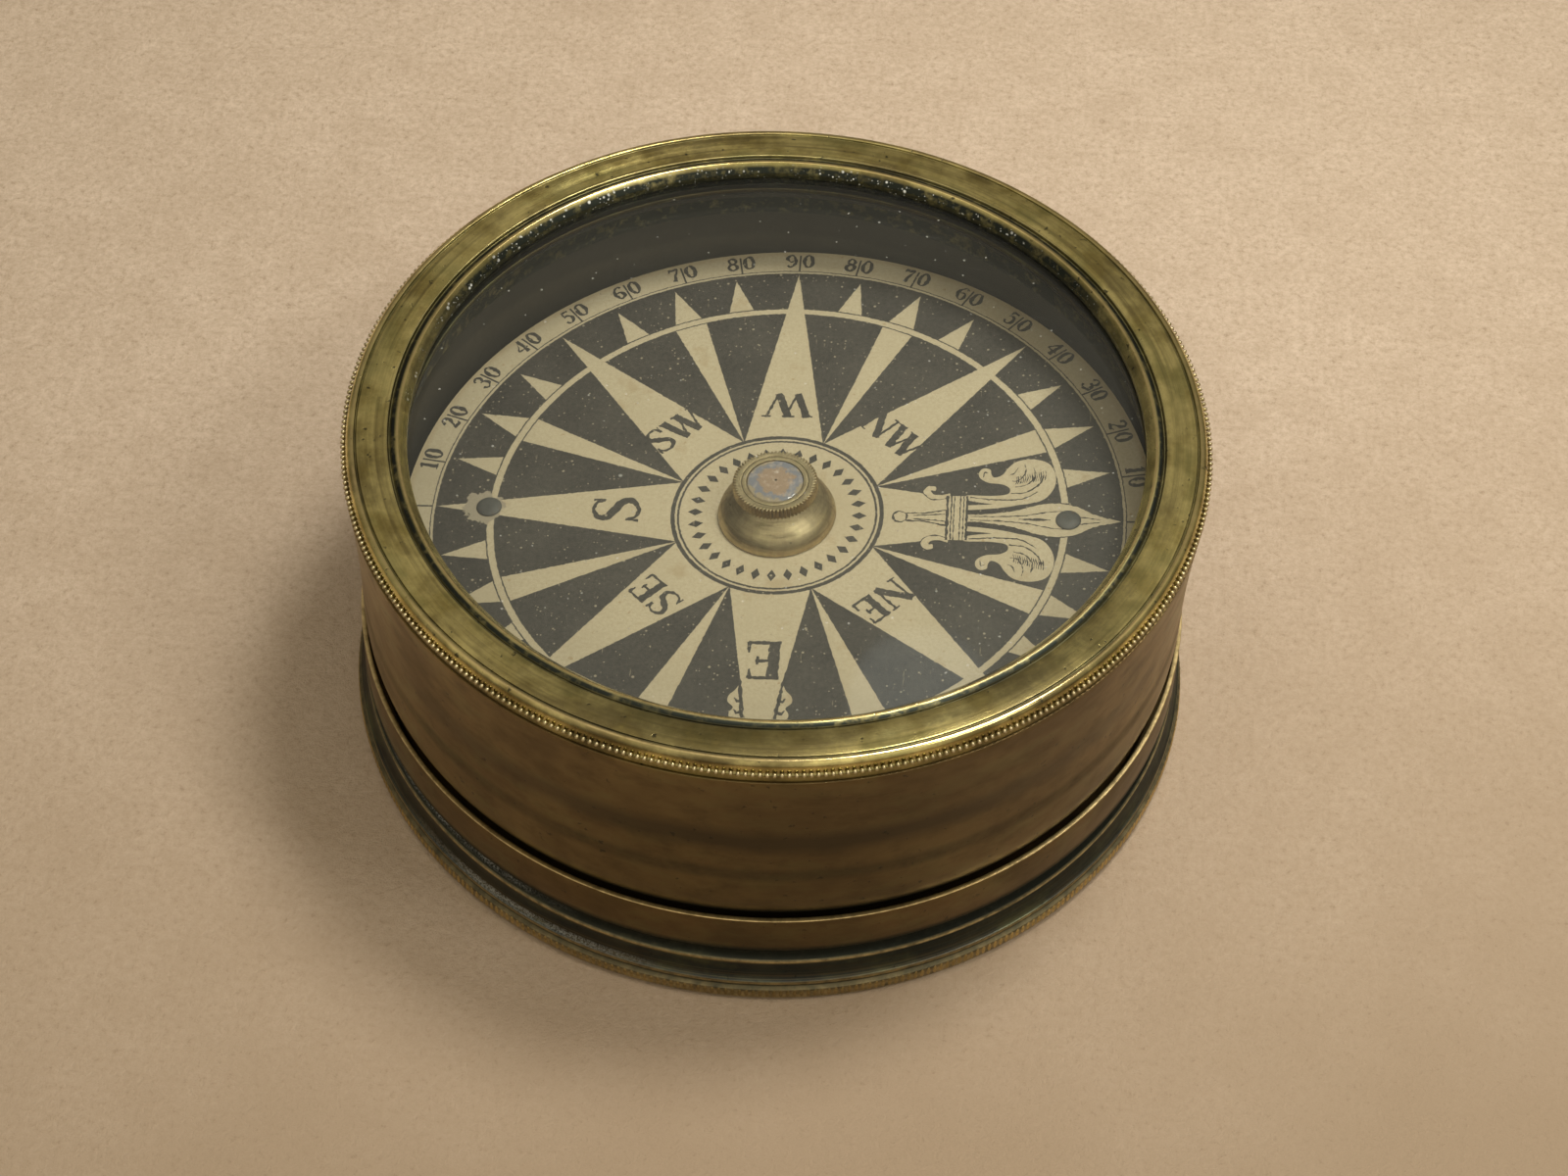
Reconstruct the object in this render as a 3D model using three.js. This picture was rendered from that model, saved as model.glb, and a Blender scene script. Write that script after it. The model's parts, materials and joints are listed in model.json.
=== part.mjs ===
// A pocket compass of turned brass: a drum with a glazed, milled bezel, a dry card on a steel pivot,
// and the compass's own lid pushed on under the drum as a stand.
// Millimetres, +Z up. The origin is the middle of the lid's flat face, which stands on the table.
import * as THREE from "three";

// Driving sizes of the drum
const drumBoreRadius = 35.2;
const drumWallThickness = 1.95;
const drumHeight = 27.6;
const drumFlare = 0.7;
const drumTuck = 1.1;
const drumTuckHeight = 3.4;
const drumStraightHeight = 2.8;
const drumLedgeWidth = 1;
const drumLedgeHeight = 1.7;
const floorThickness = 1.2;
const liningThickness = 0.25;

// Facets and milling
const segments = 44;
const smallSegments = 20;
const pinSegments = 12;
const milledTeeth = 400;
const milledDepth = 0.16;

// Clearances
const slideGap = 0.1;
const seatGap = 0.05;
const pasteGap = 0.05;
const pivotGap = 0.3;

// Lid, standing face down
const lidFaceChamfer = 0.5;
const lidBandHeight = 1.1;
const lidQuirk = 0.35;
const lidBeadHeight = 0.5;
const lidOgeeHeight = 2.1;
const lidOgeeDrop = 0.55;
const lidFilletHeight = 0.3;
const lidCoveHeight = 1.55;
const lidCoveDepth = 0.45;
const lidPlateThickness = 1.6;
const lidLandThickness = 3;
const lidLandWidth = 2.2;
const lidRimHeight = 4.4;
const lidRimWall = 0.45;
const lidMouthDepth = 3.3;
const lidMouthGap = 1;
const lidSeatWall = 0.5;
const lidCoverOfTuck = 0.25;

// Bezel and glass
const bezelProud = 0.15;
const bezelChamfer = 0.2;
const bezelBandHeight = 1.05;
const bezelLipRise = 0.75;
const bezelLipWidth = 0.8;
const bezelLipLand = 0.3;
const bezelGrooveWidth = 0.45;
const bezelGrooveDepth = 0.5;
const bezelFaceDrop = 0.12;
const bezelQuirkWidth = 0.2;
const bezelQuirkDepth = 0.35;
const bezelRollWidth = 0.75;
const bezelBevelWidth = 0.7;
const bezelBevelDrop = 0.8;
const bezelLipThickness = 1.4;
const bezelSkirtWall = 1.7;
const bezelSkirtDepth = 4.9;
const glassThickness = 1.5;
const glassRebate = 1.15;
const springRingHeight = 0.5;
const springRingWidth = 0.9;
const springRingSlitDegrees = 3;
const beddingHeight = 1.3;
const beddingWidth = 0.8;

// Card, its needle and its rivets
const cardPlay = 1.1;
const cardBelowGlass = 9.05;
const paperThickness = 0.15;
const boardThickness = 0.6;
const needleThickness = 1;
const needleInset = 5.2;
const needleHalfWidth = 4;
const needleTipHalfWidth = 1.6;
const rivetInset = 2.6;
const rivetRadius = 0.45;
const rivetHeadRadius = 1.15;
const rivetHeadHeight = 0.3;
const cardDipNorth = THREE.MathUtils.degToRad(3.7);
const cardDipEast = THREE.MathUtils.degToRad(0.7);

// Cap, with its agate
const agateRadius = 2.5;
const agateThickness = 2.05;
const agateCrown = 0.15;
const agateHollowRadius = 1;
const agateHollowDepth = 1.15;
const capNeckWall = 0.4;
const capHeight = 4.35;
const capFlangeRadius = 5.3;
const capFlangeThickness = 0.45;
const capTailRadius = 2.2;
const capTailWall = 0.7;
const capTailProud = 0.25;
const collarWidth = 0.8;
const collarHeight = 1.15;
const collarKnurlDepth = 0.16;
const collarTeeth = 60;
const nutWidth = 1.35;
const nutHeight = 1.15;

// Pivot
const pivotPinRadius = 0.5;
const pivotPinReach = 6.55;
const pivotPinSocket = 3;
const pivotPointLength = 1.6;
const pivotStemRadius = 1.7;
const pivotStemTopWall = 0.35;
const pivotStemCove = 0.8;
const pivotFlangeWidth = 1.5;
const pivotFlangeHeight = 0.9;
const rivetedTailRadius = 1.5;
const rivetedTailSpread = 0.75;
const rivetedTailHeight = 0.3;

// Radii and levels that follow, from the outside in and from the table up
const wallRadius = drumBoreRadius + drumWallThickness;
const drumFootRadius = wallRadius - drumTuck;
const bezelRadius = wallRadius + drumFlare + bezelProud;
const lidSeatRadius = drumFootRadius + slideGap;
const lidSleeveRadius = lidSeatRadius + lidSeatWall;
const lidRimInnerRadius = drumFootRadius + lidMouthGap;
const lidRimOuterRadius = lidRimInnerRadius + lidRimWall;
const lidRadius = lidRimOuterRadius + lidOgeeDrop + lidQuirk;
const skirtRadius = drumBoreRadius - slideGap;
const rebateRadius = skirtRadius - bezelSkirtWall;
const glassRadius = rebateRadius - pasteGap;
const bezelOpeningRadius = glassRadius - glassRebate;
const cardRadius = drumBoreRadius - pasteGap - liningThickness - cardPlay;
const needleHalfLength = cardRadius - needleInset;
const rivetReach = needleHalfLength - rivetInset;
const capNeckRadius = agateRadius + pasteGap + capNeckWall;
const collarInnerRadius = capNeckRadius + pasteGap;
const collarRadius = capNeckRadius + pasteGap + collarWidth;

const lidBandTop = lidFaceChamfer + lidBandHeight;
const lidBeadBase = lidBandTop + lidQuirk;
const lidBeadTop = lidBeadBase + lidBeadHeight;
const lidOgeeTop = lidBeadTop + lidOgeeHeight;
const lidFilletTop = lidOgeeTop + lidFilletHeight;
const lidShoulderHeight = lidFilletTop + lidCoveHeight;
const lidRimTop = lidShoulderHeight + lidRimHeight;
const drumBottom = lidLandThickness + seatGap;
const drumTop = drumBottom + drumHeight;
const floorBottom = drumBottom + drumLedgeHeight;
const floorTop = floorBottom + floorThickness;
const bezelUnderside = drumTop + seatGap;
const bezelTop = bezelUnderside + bezelChamfer + bezelBandHeight + bezelLipRise;
const rebateTop = bezelTop - bezelLipThickness;
const glassTop = rebateTop - pasteGap;
const glassBottom = glassTop - glassThickness;
const cardHeight = glassBottom - cardBelowGlass;

// Levels on the card, from its printed face
const boardTop = -paperThickness - pasteGap;
const needleTop = boardTop - boardThickness - pasteGap;
const needleBottom = needleTop - needleThickness;
const nutTop = needleBottom - pasteGap;
const nutBottom = nutTop - nutHeight;
const capTailBottom = nutBottom - capTailProud;
const agateBottom = capHeight - agateThickness;
const pivotPoint = agateBottom + agateHollowDepth - pivotGap;
const pivotStemTop = cardHeight + pivotPoint - pivotPinReach;

// Finishes
const agedBrass = new THREE.MeshStandardMaterial({ color: 0x8a6a35, roughness: 0.42, metalness: 1 });
const darkBrass = new THREE.MeshStandardMaterial({ color: 0x5c4727, roughness: 0.5, metalness: 1 });
const brightBrass = new THREE.MeshStandardMaterial({ color: 0xa98a4c, roughness: 0.3, metalness: 1 });
const blueSteel = new THREE.MeshStandardMaterial({ color: 0x4a4f58, roughness: 0.4, metalness: 1 });
const paper = new THREE.MeshStandardMaterial({ color: 0xb9ac84, roughness: 0.85, metalness: 0 });
const pasteboard = new THREE.MeshStandardMaterial({ color: 0x7d6a4a, roughness: 0.9, metalness: 0 });
const lining = new THREE.MeshStandardMaterial({ color: 0x2e2822, roughness: 0.95, metalness: 0 });
const putty = new THREE.MeshStandardMaterial({ color: 0x16130f, roughness: 0.8, metalness: 0 });
const agate = new THREE.MeshStandardMaterial({ color: 0xa88478, roughness: 0.2, metalness: 0 });
const clearGlass = new THREE.MeshStandardMaterial({
  color: 0xe8ece6,
  roughness: 0.05,
  metalness: 0,
  transparent: true,
  opacity: 0.25,
});

// A point of a turned profile: radius, height.
function at(radius, height) {
  return new THREE.Vector2(radius, height);
}

// Points along a quarter of an ellipse from one corner to the other, bulging towards the third.
function quarterCurve(from, to, corner, steps) {
  const curve = [];
  for (let i = 1; i < steps; i++) {
    const angle = (Math.PI / 2) * (i / steps);
    const along = 1 - Math.cos(angle);
    const across = Math.sin(angle);
    curve.push(
      at(
        from.x + (corner.x - from.x) * across + (to.x - corner.x) * along,
        from.y + (corner.y - from.y) * across + (to.y - corner.y) * along,
      ),
    );
  }
  return curve;
}

// A solid turned about Z. The profile runs up the outside and closes on itself or on the axis.
function turned(profile, count = segments) {
  const closed = profile[0].x > 0;
  const points = closed ? [...profile, profile[0].clone()] : profile;
  return new THREE.LatheGeometry(points, count).rotateX(Math.PI / 2);
}

// Faces between two rings of points, where one ring can be finer than the other or a single point.
function stitch(lower, upper, faces) {
  const steps = Math.max(lower.length, upper.length);
  for (let i = 0; i < steps; i++) {
    const [a, b] = [i, i + 1].map((step) => lower[Math.round((step * lower.length) / steps) % lower.length]);
    const [d, c] = [i, i + 1].map((step) => upper[Math.round((step * upper.length) / steps) % upper.length]);
    if (a !== b) faces.push(a, b, c);
    if (c !== d) faces.push(a, c, d);
  }
}

// A turned solid whose profile is milled from the point numbered band to the next: ridges, and a pit
// pressed between each two.
function milled(profile, band) {
  const positions = [];
  const faces = [];
  function ring(radius, height, count, turn = 0) {
    const made = [];
    for (let i = 0; i < count; i++) {
      const angle = (Math.PI * 2 * (i + turn)) / count;
      made.push(positions.length / 3);
      positions.push(radius * Math.sin(angle), -radius * Math.cos(angle), height);
    }
    return made;
  }
  const rings = profile.map((point, i) => {
    if (point.x === 0) return ring(0, point.y, 1);
    const fine = i === band || i === band + 1;
    return ring(point.x, point.y, fine ? milledTeeth : segments);
  });
  if (profile[0].x > 0) rings.push(rings[0]);
  for (let i = 0; i + 1 < rings.length; i++) if (i !== band) stitch(rings[i], rings[i + 1], faces);
  const middle = (profile[band].y + profile[band + 1].y) / 2;
  const pits = ring(profile[band].x - milledDepth, middle, milledTeeth, 1 / 2);
  pits.forEach((pit, i) => {
    const next = (i + 1) % milledTeeth;
    const [low, high] = [rings[band], rings[band + 1]];
    faces.push(low[i], low[next], pit, low[next], high[next], pit);
    faces.push(high[next], high[i], pit, high[i], low[i], pit);
  });
  const geometry = new THREE.BufferGeometry();
  geometry.setAttribute("position", new THREE.Float32BufferAttribute(positions, 3));
  geometry.setIndex(faces);
  geometry.computeVertexNormals();
  return geometry;
}

// A flat plate of an outline with holes, standing on a level.
function plate(outline, thickness, level) {
  const geometry = new THREE.ExtrudeGeometry(outline, {
    depth: thickness,
    bevelEnabled: false,
    curveSegments: segments / 2,
  });
  geometry.translate(0, 0, level);
  return geometry;
}

// A round hole of straight facets, so that a small hole has few.
function roundHole(radius, count, x = 0) {
  const points = [];
  for (let i = 0; i < count; i++) {
    const angle = (-Math.PI * 2 * i) / count;
    points.push(new THREE.Vector2(x + radius * Math.cos(angle), radius * Math.sin(angle)));
  }
  return new THREE.Path().setFromPoints(points);
}

function piece(name, geometry, material) {
  const mesh = new THREE.Mesh(geometry, material);
  mesh.name = name;
  return mesh;
}

// The lid's plate: a flat disc with a milled band at the table, then a bead, an ogee, a fillet and a cove
// that carry the eye up to the rim.
function lidPlate() {
  const ogeeRadius = lidRadius - lidQuirk;
  const filletRadius = ogeeRadius - lidOgeeDrop;
  const landInner = lidSeatRadius - lidLandWidth;
  const ogeeLow = at(ogeeRadius, lidBeadTop);
  const ogeeHigh = at(filletRadius, lidOgeeTop);
  const coveLow = at(filletRadius, lidFilletTop);
  const coveMiddle = at(lidRimOuterRadius - lidCoveDepth, lidFilletTop + lidCoveHeight / 2);
  const coveHigh = at(lidRimOuterRadius, lidShoulderHeight);
  return milled(
    [
      at(0, 0),
      at(lidRadius - lidFaceChamfer, 0),
      at(lidRadius, lidFaceChamfer),
      at(lidRadius, lidBandTop),
      at(ogeeRadius - lidQuirk, lidBeadBase),
      at(ogeeRadius, lidBeadBase),
      ogeeLow,
      ...quarterCurve(ogeeLow, ogeeHigh, at(filletRadius, lidBeadTop), 3),
      ogeeHigh,
      coveLow,
      ...quarterCurve(coveLow, coveMiddle, at(coveMiddle.x, coveLow.y), 2),
      coveMiddle,
      ...quarterCurve(coveMiddle, coveHigh, at(coveMiddle.x, coveHigh.y), 2),
      coveHigh,
      at(lidSleeveRadius + pasteGap, lidShoulderHeight),
      at(lidSleeveRadius + pasteGap, lidLandThickness),
      at(landInner, lidLandThickness),
      at(landInner - lidLandThickness + lidPlateThickness, lidPlateThickness),
      at(0, lidPlateThickness),
    ],
    2,
  );
}

// The lid's rim: a thin tube soldered inside the plate's shoulder, opened out at its mouth.
function lidRim() {
  const seatTop = lidRimTop - lidMouthDepth;
  return turned([
    at(lidSeatRadius, lidLandThickness + pasteGap),
    at(lidSleeveRadius, lidLandThickness + pasteGap),
    at(lidSleeveRadius, lidShoulderHeight + pasteGap),
    at(lidRimOuterRadius, lidShoulderHeight + pasteGap),
    at(lidRimOuterRadius, lidRimTop - lidRimWall / 3),
    at(lidRimOuterRadius - lidRimWall / 3, lidRimTop),
    at(lidRimInnerRadius, lidRimTop),
    at(lidRimInnerRadius, seatTop),
    at(lidSeatRadius, seatTop),
  ]);
}

// The drum's wall: it flares out to the bezel in one long hollow curve, and tucks in above the lid.
function drumWall() {
  const flareSteps = 5;
  const tuckBase = lidRimTop - lidCoverOfTuck;
  const tuckTop = tuckBase + drumTuckHeight;
  const flareBase = tuckTop + drumStraightHeight;
  const foot = at(drumFootRadius, tuckBase);
  const shoulder = at(wallRadius, tuckTop);
  const profile = [
    at(drumBoreRadius - drumLedgeWidth, drumBottom),
    at(drumFootRadius, drumBottom),
    foot,
    ...quarterCurve(foot, shoulder, at(wallRadius, tuckBase), 4),
    shoulder,
  ];
  for (let i = 0; i <= flareSteps; i++) {
    const share = i / flareSteps;
    profile.push(at(wallRadius + drumFlare * share * share, flareBase + (drumTop - flareBase) * share));
  }
  profile.push(
    at(drumBoreRadius, drumTop),
    at(drumBoreRadius, floorBottom),
    at(drumBoreRadius - drumLedgeWidth, floorBottom),
  );
  return turned(profile);
}

// The floor rests on the ledge inside the wall and is drilled for the pivot's tail.
function drumFloor() {
  const tailHole = rivetedTailRadius + slideGap;
  return turned([
    at(tailHole, floorBottom + pasteGap),
    at(drumBoreRadius - pasteGap, floorBottom + pasteGap),
    at(drumBoreRadius - pasteGap, floorTop),
    at(tailHole, floorTop),
  ]);
}

// A paper lining pasted inside the wall, from the floor to the bezel's skirt.
function wallLining() {
  const outer = drumBoreRadius - pasteGap;
  const low = floorTop + pasteGap;
  const high = bezelUnderside - bezelSkirtDepth - seatGap;
  return turned([
    at(outer - liningThickness, low),
    at(outer, low),
    at(outer, high),
    at(outer - liningThickness, high),
  ]);
}

// The pivot's stem: a coved foot on the floor, a tapered column, and a tail riveted over under the floor.
function pivotStem() {
  const low = floorBottom - rivetedTailHeight;
  const footBase = floorTop + pasteGap;
  const footTop = footBase + pivotFlangeHeight;
  const coveLow = at(pivotStemRadius + pivotStemCove, footTop);
  const coveHigh = at(pivotStemRadius, footTop + pivotStemCove);
  const socket = pivotPinRadius + pasteGap;
  return turned(
    [
      at(0, low),
      at(rivetedTailRadius + rivetedTailSpread, low),
      at(rivetedTailRadius + rivetedTailSpread, floorBottom),
      at(rivetedTailRadius, floorBottom),
      at(rivetedTailRadius, footBase),
      at(coveLow.x + pivotFlangeWidth, footBase),
      at(coveLow.x + pivotFlangeWidth, footTop),
      coveLow,
      ...quarterCurve(coveLow, coveHigh, at(pivotStemRadius, footTop), 3),
      coveHigh,
      at(socket + pivotStemTopWall, pivotStemTop),
      at(socket, pivotStemTop),
      at(socket, pivotStemTop - pivotPinSocket),
      at(0, pivotStemTop - pivotPinSocket),
    ],
    smallSegments,
  );
}

// The steel point that the agate rides on.
function pivotPin() {
  const low = pivotStemTop - pivotPinSocket + pasteGap;
  const tip = cardHeight + pivotPoint;
  return turned(
    [
      at(0, low),
      at(pivotPinRadius, low),
      at(pivotPinRadius, tip - pivotPointLength),
      at(0, tip),
    ],
    pinSegments,
  );
}

// The bezel: a milled edge, a raised lip, a groove, a flat band, a quirk and an inner roll with a bevel down
// to the glass, on a skirt that slides into the drum.
function bezelRing() {
  const skirtBottom = bezelUnderside - bezelSkirtDepth;
  const bandLow = bezelUnderside + bezelChamfer;
  const bandTop = bandLow + bezelBandHeight;
  const lipOuter = bezelRadius - bezelLipWidth;
  const lipInner = lipOuter - bezelLipLand;
  const grooveInner = lipInner - bezelGrooveWidth;
  const ridge = bezelOpeningRadius + bezelBevelWidth;
  const quirkInner = ridge + bezelRollWidth;
  const faceInner = quirkInner + bezelQuirkWidth;
  const faceLevel = bezelTop - bezelFaceDrop;
  const lipLow = at(bezelRadius, bandTop);
  const lipHigh = at(lipOuter, bezelTop);
  const rollLow = at(quirkInner, faceLevel - bezelQuirkDepth);
  const rollHigh = at(ridge, bezelTop);
  return milled(
    [
      at(rebateRadius, skirtBottom),
      at(skirtRadius, skirtBottom),
      at(skirtRadius, bezelUnderside),
      at(bezelRadius - bezelChamfer, bezelUnderside),
      at(bezelRadius, bandLow),
      lipLow,
      ...quarterCurve(lipLow, lipHigh, at(bezelRadius, bezelTop), 3),
      lipHigh,
      at(lipInner, bezelTop),
      at(lipInner - bezelGrooveWidth / 4, bezelTop - bezelGrooveDepth),
      at(grooveInner + bezelGrooveWidth / 4, bezelTop - bezelGrooveDepth),
      at(grooveInner, faceLevel),
      at(faceInner, faceLevel),
      at(faceInner - bezelQuirkWidth / 2, rollLow.y),
      rollLow,
      ...quarterCurve(rollLow, rollHigh, at(quirkInner, bezelTop), 3),
      rollHigh,
      at(bezelOpeningRadius, bezelTop - bezelBevelDrop),
      at(bezelOpeningRadius, rebateTop),
      at(rebateRadius, rebateTop),
    ],
    4,
  );
}

function glassDisc() {
  return turned([
    at(0, glassBottom),
    at(glassRadius, glassBottom),
    at(glassRadius, glassTop),
    at(0, glassTop),
  ]);
}

// A split spring ring under the glass.
function springRing() {
  const top = glassBottom - pasteGap;
  const low = top - springRingHeight;
  const outer = glassRadius * Math.cos(Math.PI / segments);
  const inner = glassRadius - springRingWidth;
  const slit = THREE.MathUtils.degToRad(springRingSlitDegrees);
  const outline = new THREE.Shape();
  outline.absarc(0, 0, outer, slit / 2, Math.PI * 2 - slit / 2, false);
  outline.absarc(0, 0, inner, Math.PI * 2 - slit / 2, slit / 2, true);
  outline.closePath();
  return plate(outline, top - low, low);
}

// Old putty run into the corner under the spring ring.
function glassBedding() {
  const top = glassBottom - springRingHeight - pasteGap * 2;
  const low = top - beddingHeight;
  return turned([
    at(glassRadius, low),
    at(glassRadius, top),
    at(glassRadius - beddingWidth, top),
  ]);
}

// The holes that card, board and needle share: the cap's tail in the middle, and a rivet at each end.
function drillForCap(outline) {
  outline.holes.push(roundHole(capTailRadius + slideGap, smallSegments));
  outline.holes.push(roundHole(rivetRadius + slideGap, pinSegments, rivetReach));
  outline.holes.push(roundHole(rivetRadius + slideGap, pinSegments, -rivetReach));
}

// A disc of the card's radius, with holes for the cap's tail and the two rivets.
function cardDisc(thickness, level) {
  const outline = new THREE.Shape();
  outline.absarc(0, 0, cardRadius, 0, Math.PI * 2, false);
  drillForCap(outline);
  return plate(outline, thickness, level);
}

// The magnetised bar under the card: broad at the cap, narrow at its ends.
function needleBar() {
  const outline = new THREE.Shape();
  outline.moveTo(needleHalfLength, needleTipHalfWidth);
  outline.lineTo(0, needleHalfWidth);
  outline.lineTo(-needleHalfLength, needleTipHalfWidth);
  outline.lineTo(-needleHalfLength, -needleTipHalfWidth);
  outline.lineTo(0, -needleHalfWidth);
  outline.lineTo(needleHalfLength, -needleTipHalfWidth);
  outline.closePath();
  drillForCap(outline);
  return plate(outline, needleThickness, needleBottom);
}

// A rivet through card, board and needle, with a low round head on the card and a clinched end below.
function rivet(x) {
  const headBase = pasteGap;
  const headLow = at(rivetHeadRadius, headBase);
  const headHigh = at(0, headBase + rivetHeadHeight);
  const geometry = turned(
    [
      at(0, nutTop - rivetHeadHeight),
      at(rivetHeadRadius, nutTop - rivetHeadHeight / 2),
      at(rivetHeadRadius, nutTop),
      at(rivetRadius, nutTop),
      at(rivetRadius, headBase),
      headLow,
      ...quarterCurve(headLow, headHigh, at(rivetHeadRadius, headHigh.y), 3),
      headHigh,
    ],
    pinSegments,
  );
  geometry.translate(x, 0, 0);
  return geometry;
}

// The cap's body: a bell-shaped flange on the card, a neck, and a tail through to the nut.
function capBody() {
  const flangeBase = pasteGap;
  const flangeTop = flangeBase + capFlangeThickness;
  const bellLow = at(capFlangeRadius - capFlangeThickness / 2, flangeTop);
  const bellHigh = at(capNeckRadius, capHeight - collarHeight);
  const bellMiddle = at((bellLow.x + bellHigh.x) / 2, (bellLow.y * 2 + bellHigh.y) / 3);
  const bore = capTailRadius - capTailWall;
  const socket = agateRadius + pasteGap;
  return turned(
    [
      at(bore, capTailBottom),
      at(capTailRadius, capTailBottom),
      at(capTailRadius, flangeBase),
      at(capFlangeRadius, flangeBase),
      at(capFlangeRadius, (flangeBase + flangeTop) / 2),
      bellLow,
      ...quarterCurve(bellLow, bellMiddle, at(bellLow.x, bellMiddle.y), 3),
      bellMiddle,
      ...quarterCurve(bellMiddle, bellHigh, at(bellHigh.x, bellMiddle.y), 3),
      bellHigh,
      at(capNeckRadius, capHeight),
      at(socket, capHeight),
      at(socket, agateBottom - pasteGap),
      at(bore, agateBottom - pasteGap),
    ],
    smallSegments,
  );
}

// A ring whose outer edge is cut into teeth, as a knurled collar is.
function capCollar() {
  const outline = new THREE.Shape();
  for (let i = 0; i < collarTeeth * 2; i++) {
    const angle = (Math.PI * i) / collarTeeth;
    const radius = i % 2 ? collarRadius - collarKnurlDepth : collarRadius;
    const x = radius * Math.cos(angle);
    const y = radius * Math.sin(angle);
    if (i) outline.lineTo(x, y);
    else outline.moveTo(x, y);
  }
  outline.closePath();
  outline.holes.push(roundHole(collarInnerRadius, smallSegments));
  return plate(outline, collarHeight, capHeight - collarHeight);
}

// The agate: a low crown above, and the hollow below that rides on the pivot's point.
function agateCup() {
  return turned(
    [
      at(0, agateBottom + agateHollowDepth),
      at(agateHollowRadius, agateBottom),
      at(agateRadius, agateBottom),
      at(agateRadius, capHeight),
      at(0, capHeight + agateCrown),
    ],
    smallSegments,
  );
}

function capNut() {
  const inner = capTailRadius + pasteGap;
  const outer = inner + nutWidth;
  return turned(
    [at(inner, nutBottom), at(outer, nutBottom), at(outer, nutTop), at(inner, nutTop)],
    smallSegments,
  );
}

const compass = new THREE.Group();

compass.add(
  piece("lid_plate", lidPlate(), darkBrass),
  piece("lid_rim", lidRim(), agedBrass),
  piece("drum_wall", drumWall(), agedBrass),
  piece("drum_floor", drumFloor(), darkBrass),
  piece("wall_lining", wallLining(), lining),
  piece("pivot_stem", pivotStem(), brightBrass),
  piece("pivot_pin", pivotPin(), blueSteel),
  piece("bezel_ring", bezelRing(), agedBrass),
  piece("glass", glassDisc(), clearGlass),
  piece("glass_spring_ring", springRing(), darkBrass),
  piece("glass_bedding", glassBedding(), putty),
);

// The card hangs a little out of level on its pivot, with its north side high. North lies along +X.
const balance = new THREE.Group();
balance.position.set(0, 0, cardHeight + pivotPoint);
balance.rotation.set(-cardDipEast, -cardDipNorth, 0);
const card = new THREE.Group();
card.position.set(0, 0, -pivotPoint);
card.add(
  piece("card_paper", cardDisc(paperThickness, -paperThickness), paper),
  piece("card_board", cardDisc(boardThickness, boardTop - boardThickness), pasteboard),
  piece("needle_bar", needleBar(), blueSteel),
  piece("needle_rivet_north", rivet(rivetReach), blueSteel),
  piece("needle_rivet_south", rivet(-rivetReach), blueSteel),
  piece("cap_body", capBody(), brightBrass),
  piece("cap_collar", capCollar(), brightBrass),
  piece("agate_cup", agateCup(), agate),
  piece("cap_nut", capNut(), darkBrass),
);
balance.add(card);
compass.add(balance);

export default compass;
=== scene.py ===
# Pocket compass: looks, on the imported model
import functools
import json
import math
import bmesh
import bpy
from mathutils import Matrix, Vector, geometry, noise


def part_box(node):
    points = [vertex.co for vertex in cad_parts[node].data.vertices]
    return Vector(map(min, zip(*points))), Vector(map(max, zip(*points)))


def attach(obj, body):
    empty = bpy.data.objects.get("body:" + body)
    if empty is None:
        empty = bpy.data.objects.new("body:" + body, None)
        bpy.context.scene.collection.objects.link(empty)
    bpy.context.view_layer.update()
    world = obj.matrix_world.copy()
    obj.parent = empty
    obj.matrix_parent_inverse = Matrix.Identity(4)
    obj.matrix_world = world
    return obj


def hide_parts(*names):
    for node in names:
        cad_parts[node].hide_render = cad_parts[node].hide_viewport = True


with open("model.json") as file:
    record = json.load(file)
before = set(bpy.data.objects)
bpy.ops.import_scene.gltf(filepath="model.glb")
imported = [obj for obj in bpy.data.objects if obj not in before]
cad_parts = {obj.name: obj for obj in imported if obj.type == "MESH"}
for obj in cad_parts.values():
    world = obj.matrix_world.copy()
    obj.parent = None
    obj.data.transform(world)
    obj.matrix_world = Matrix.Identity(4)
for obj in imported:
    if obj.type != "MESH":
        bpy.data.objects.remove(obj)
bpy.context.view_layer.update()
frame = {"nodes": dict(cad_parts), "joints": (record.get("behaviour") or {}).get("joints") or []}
nodes = frame["nodes"]
mm = 0.001
print("frame:", len(nodes), "nodes")


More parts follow.
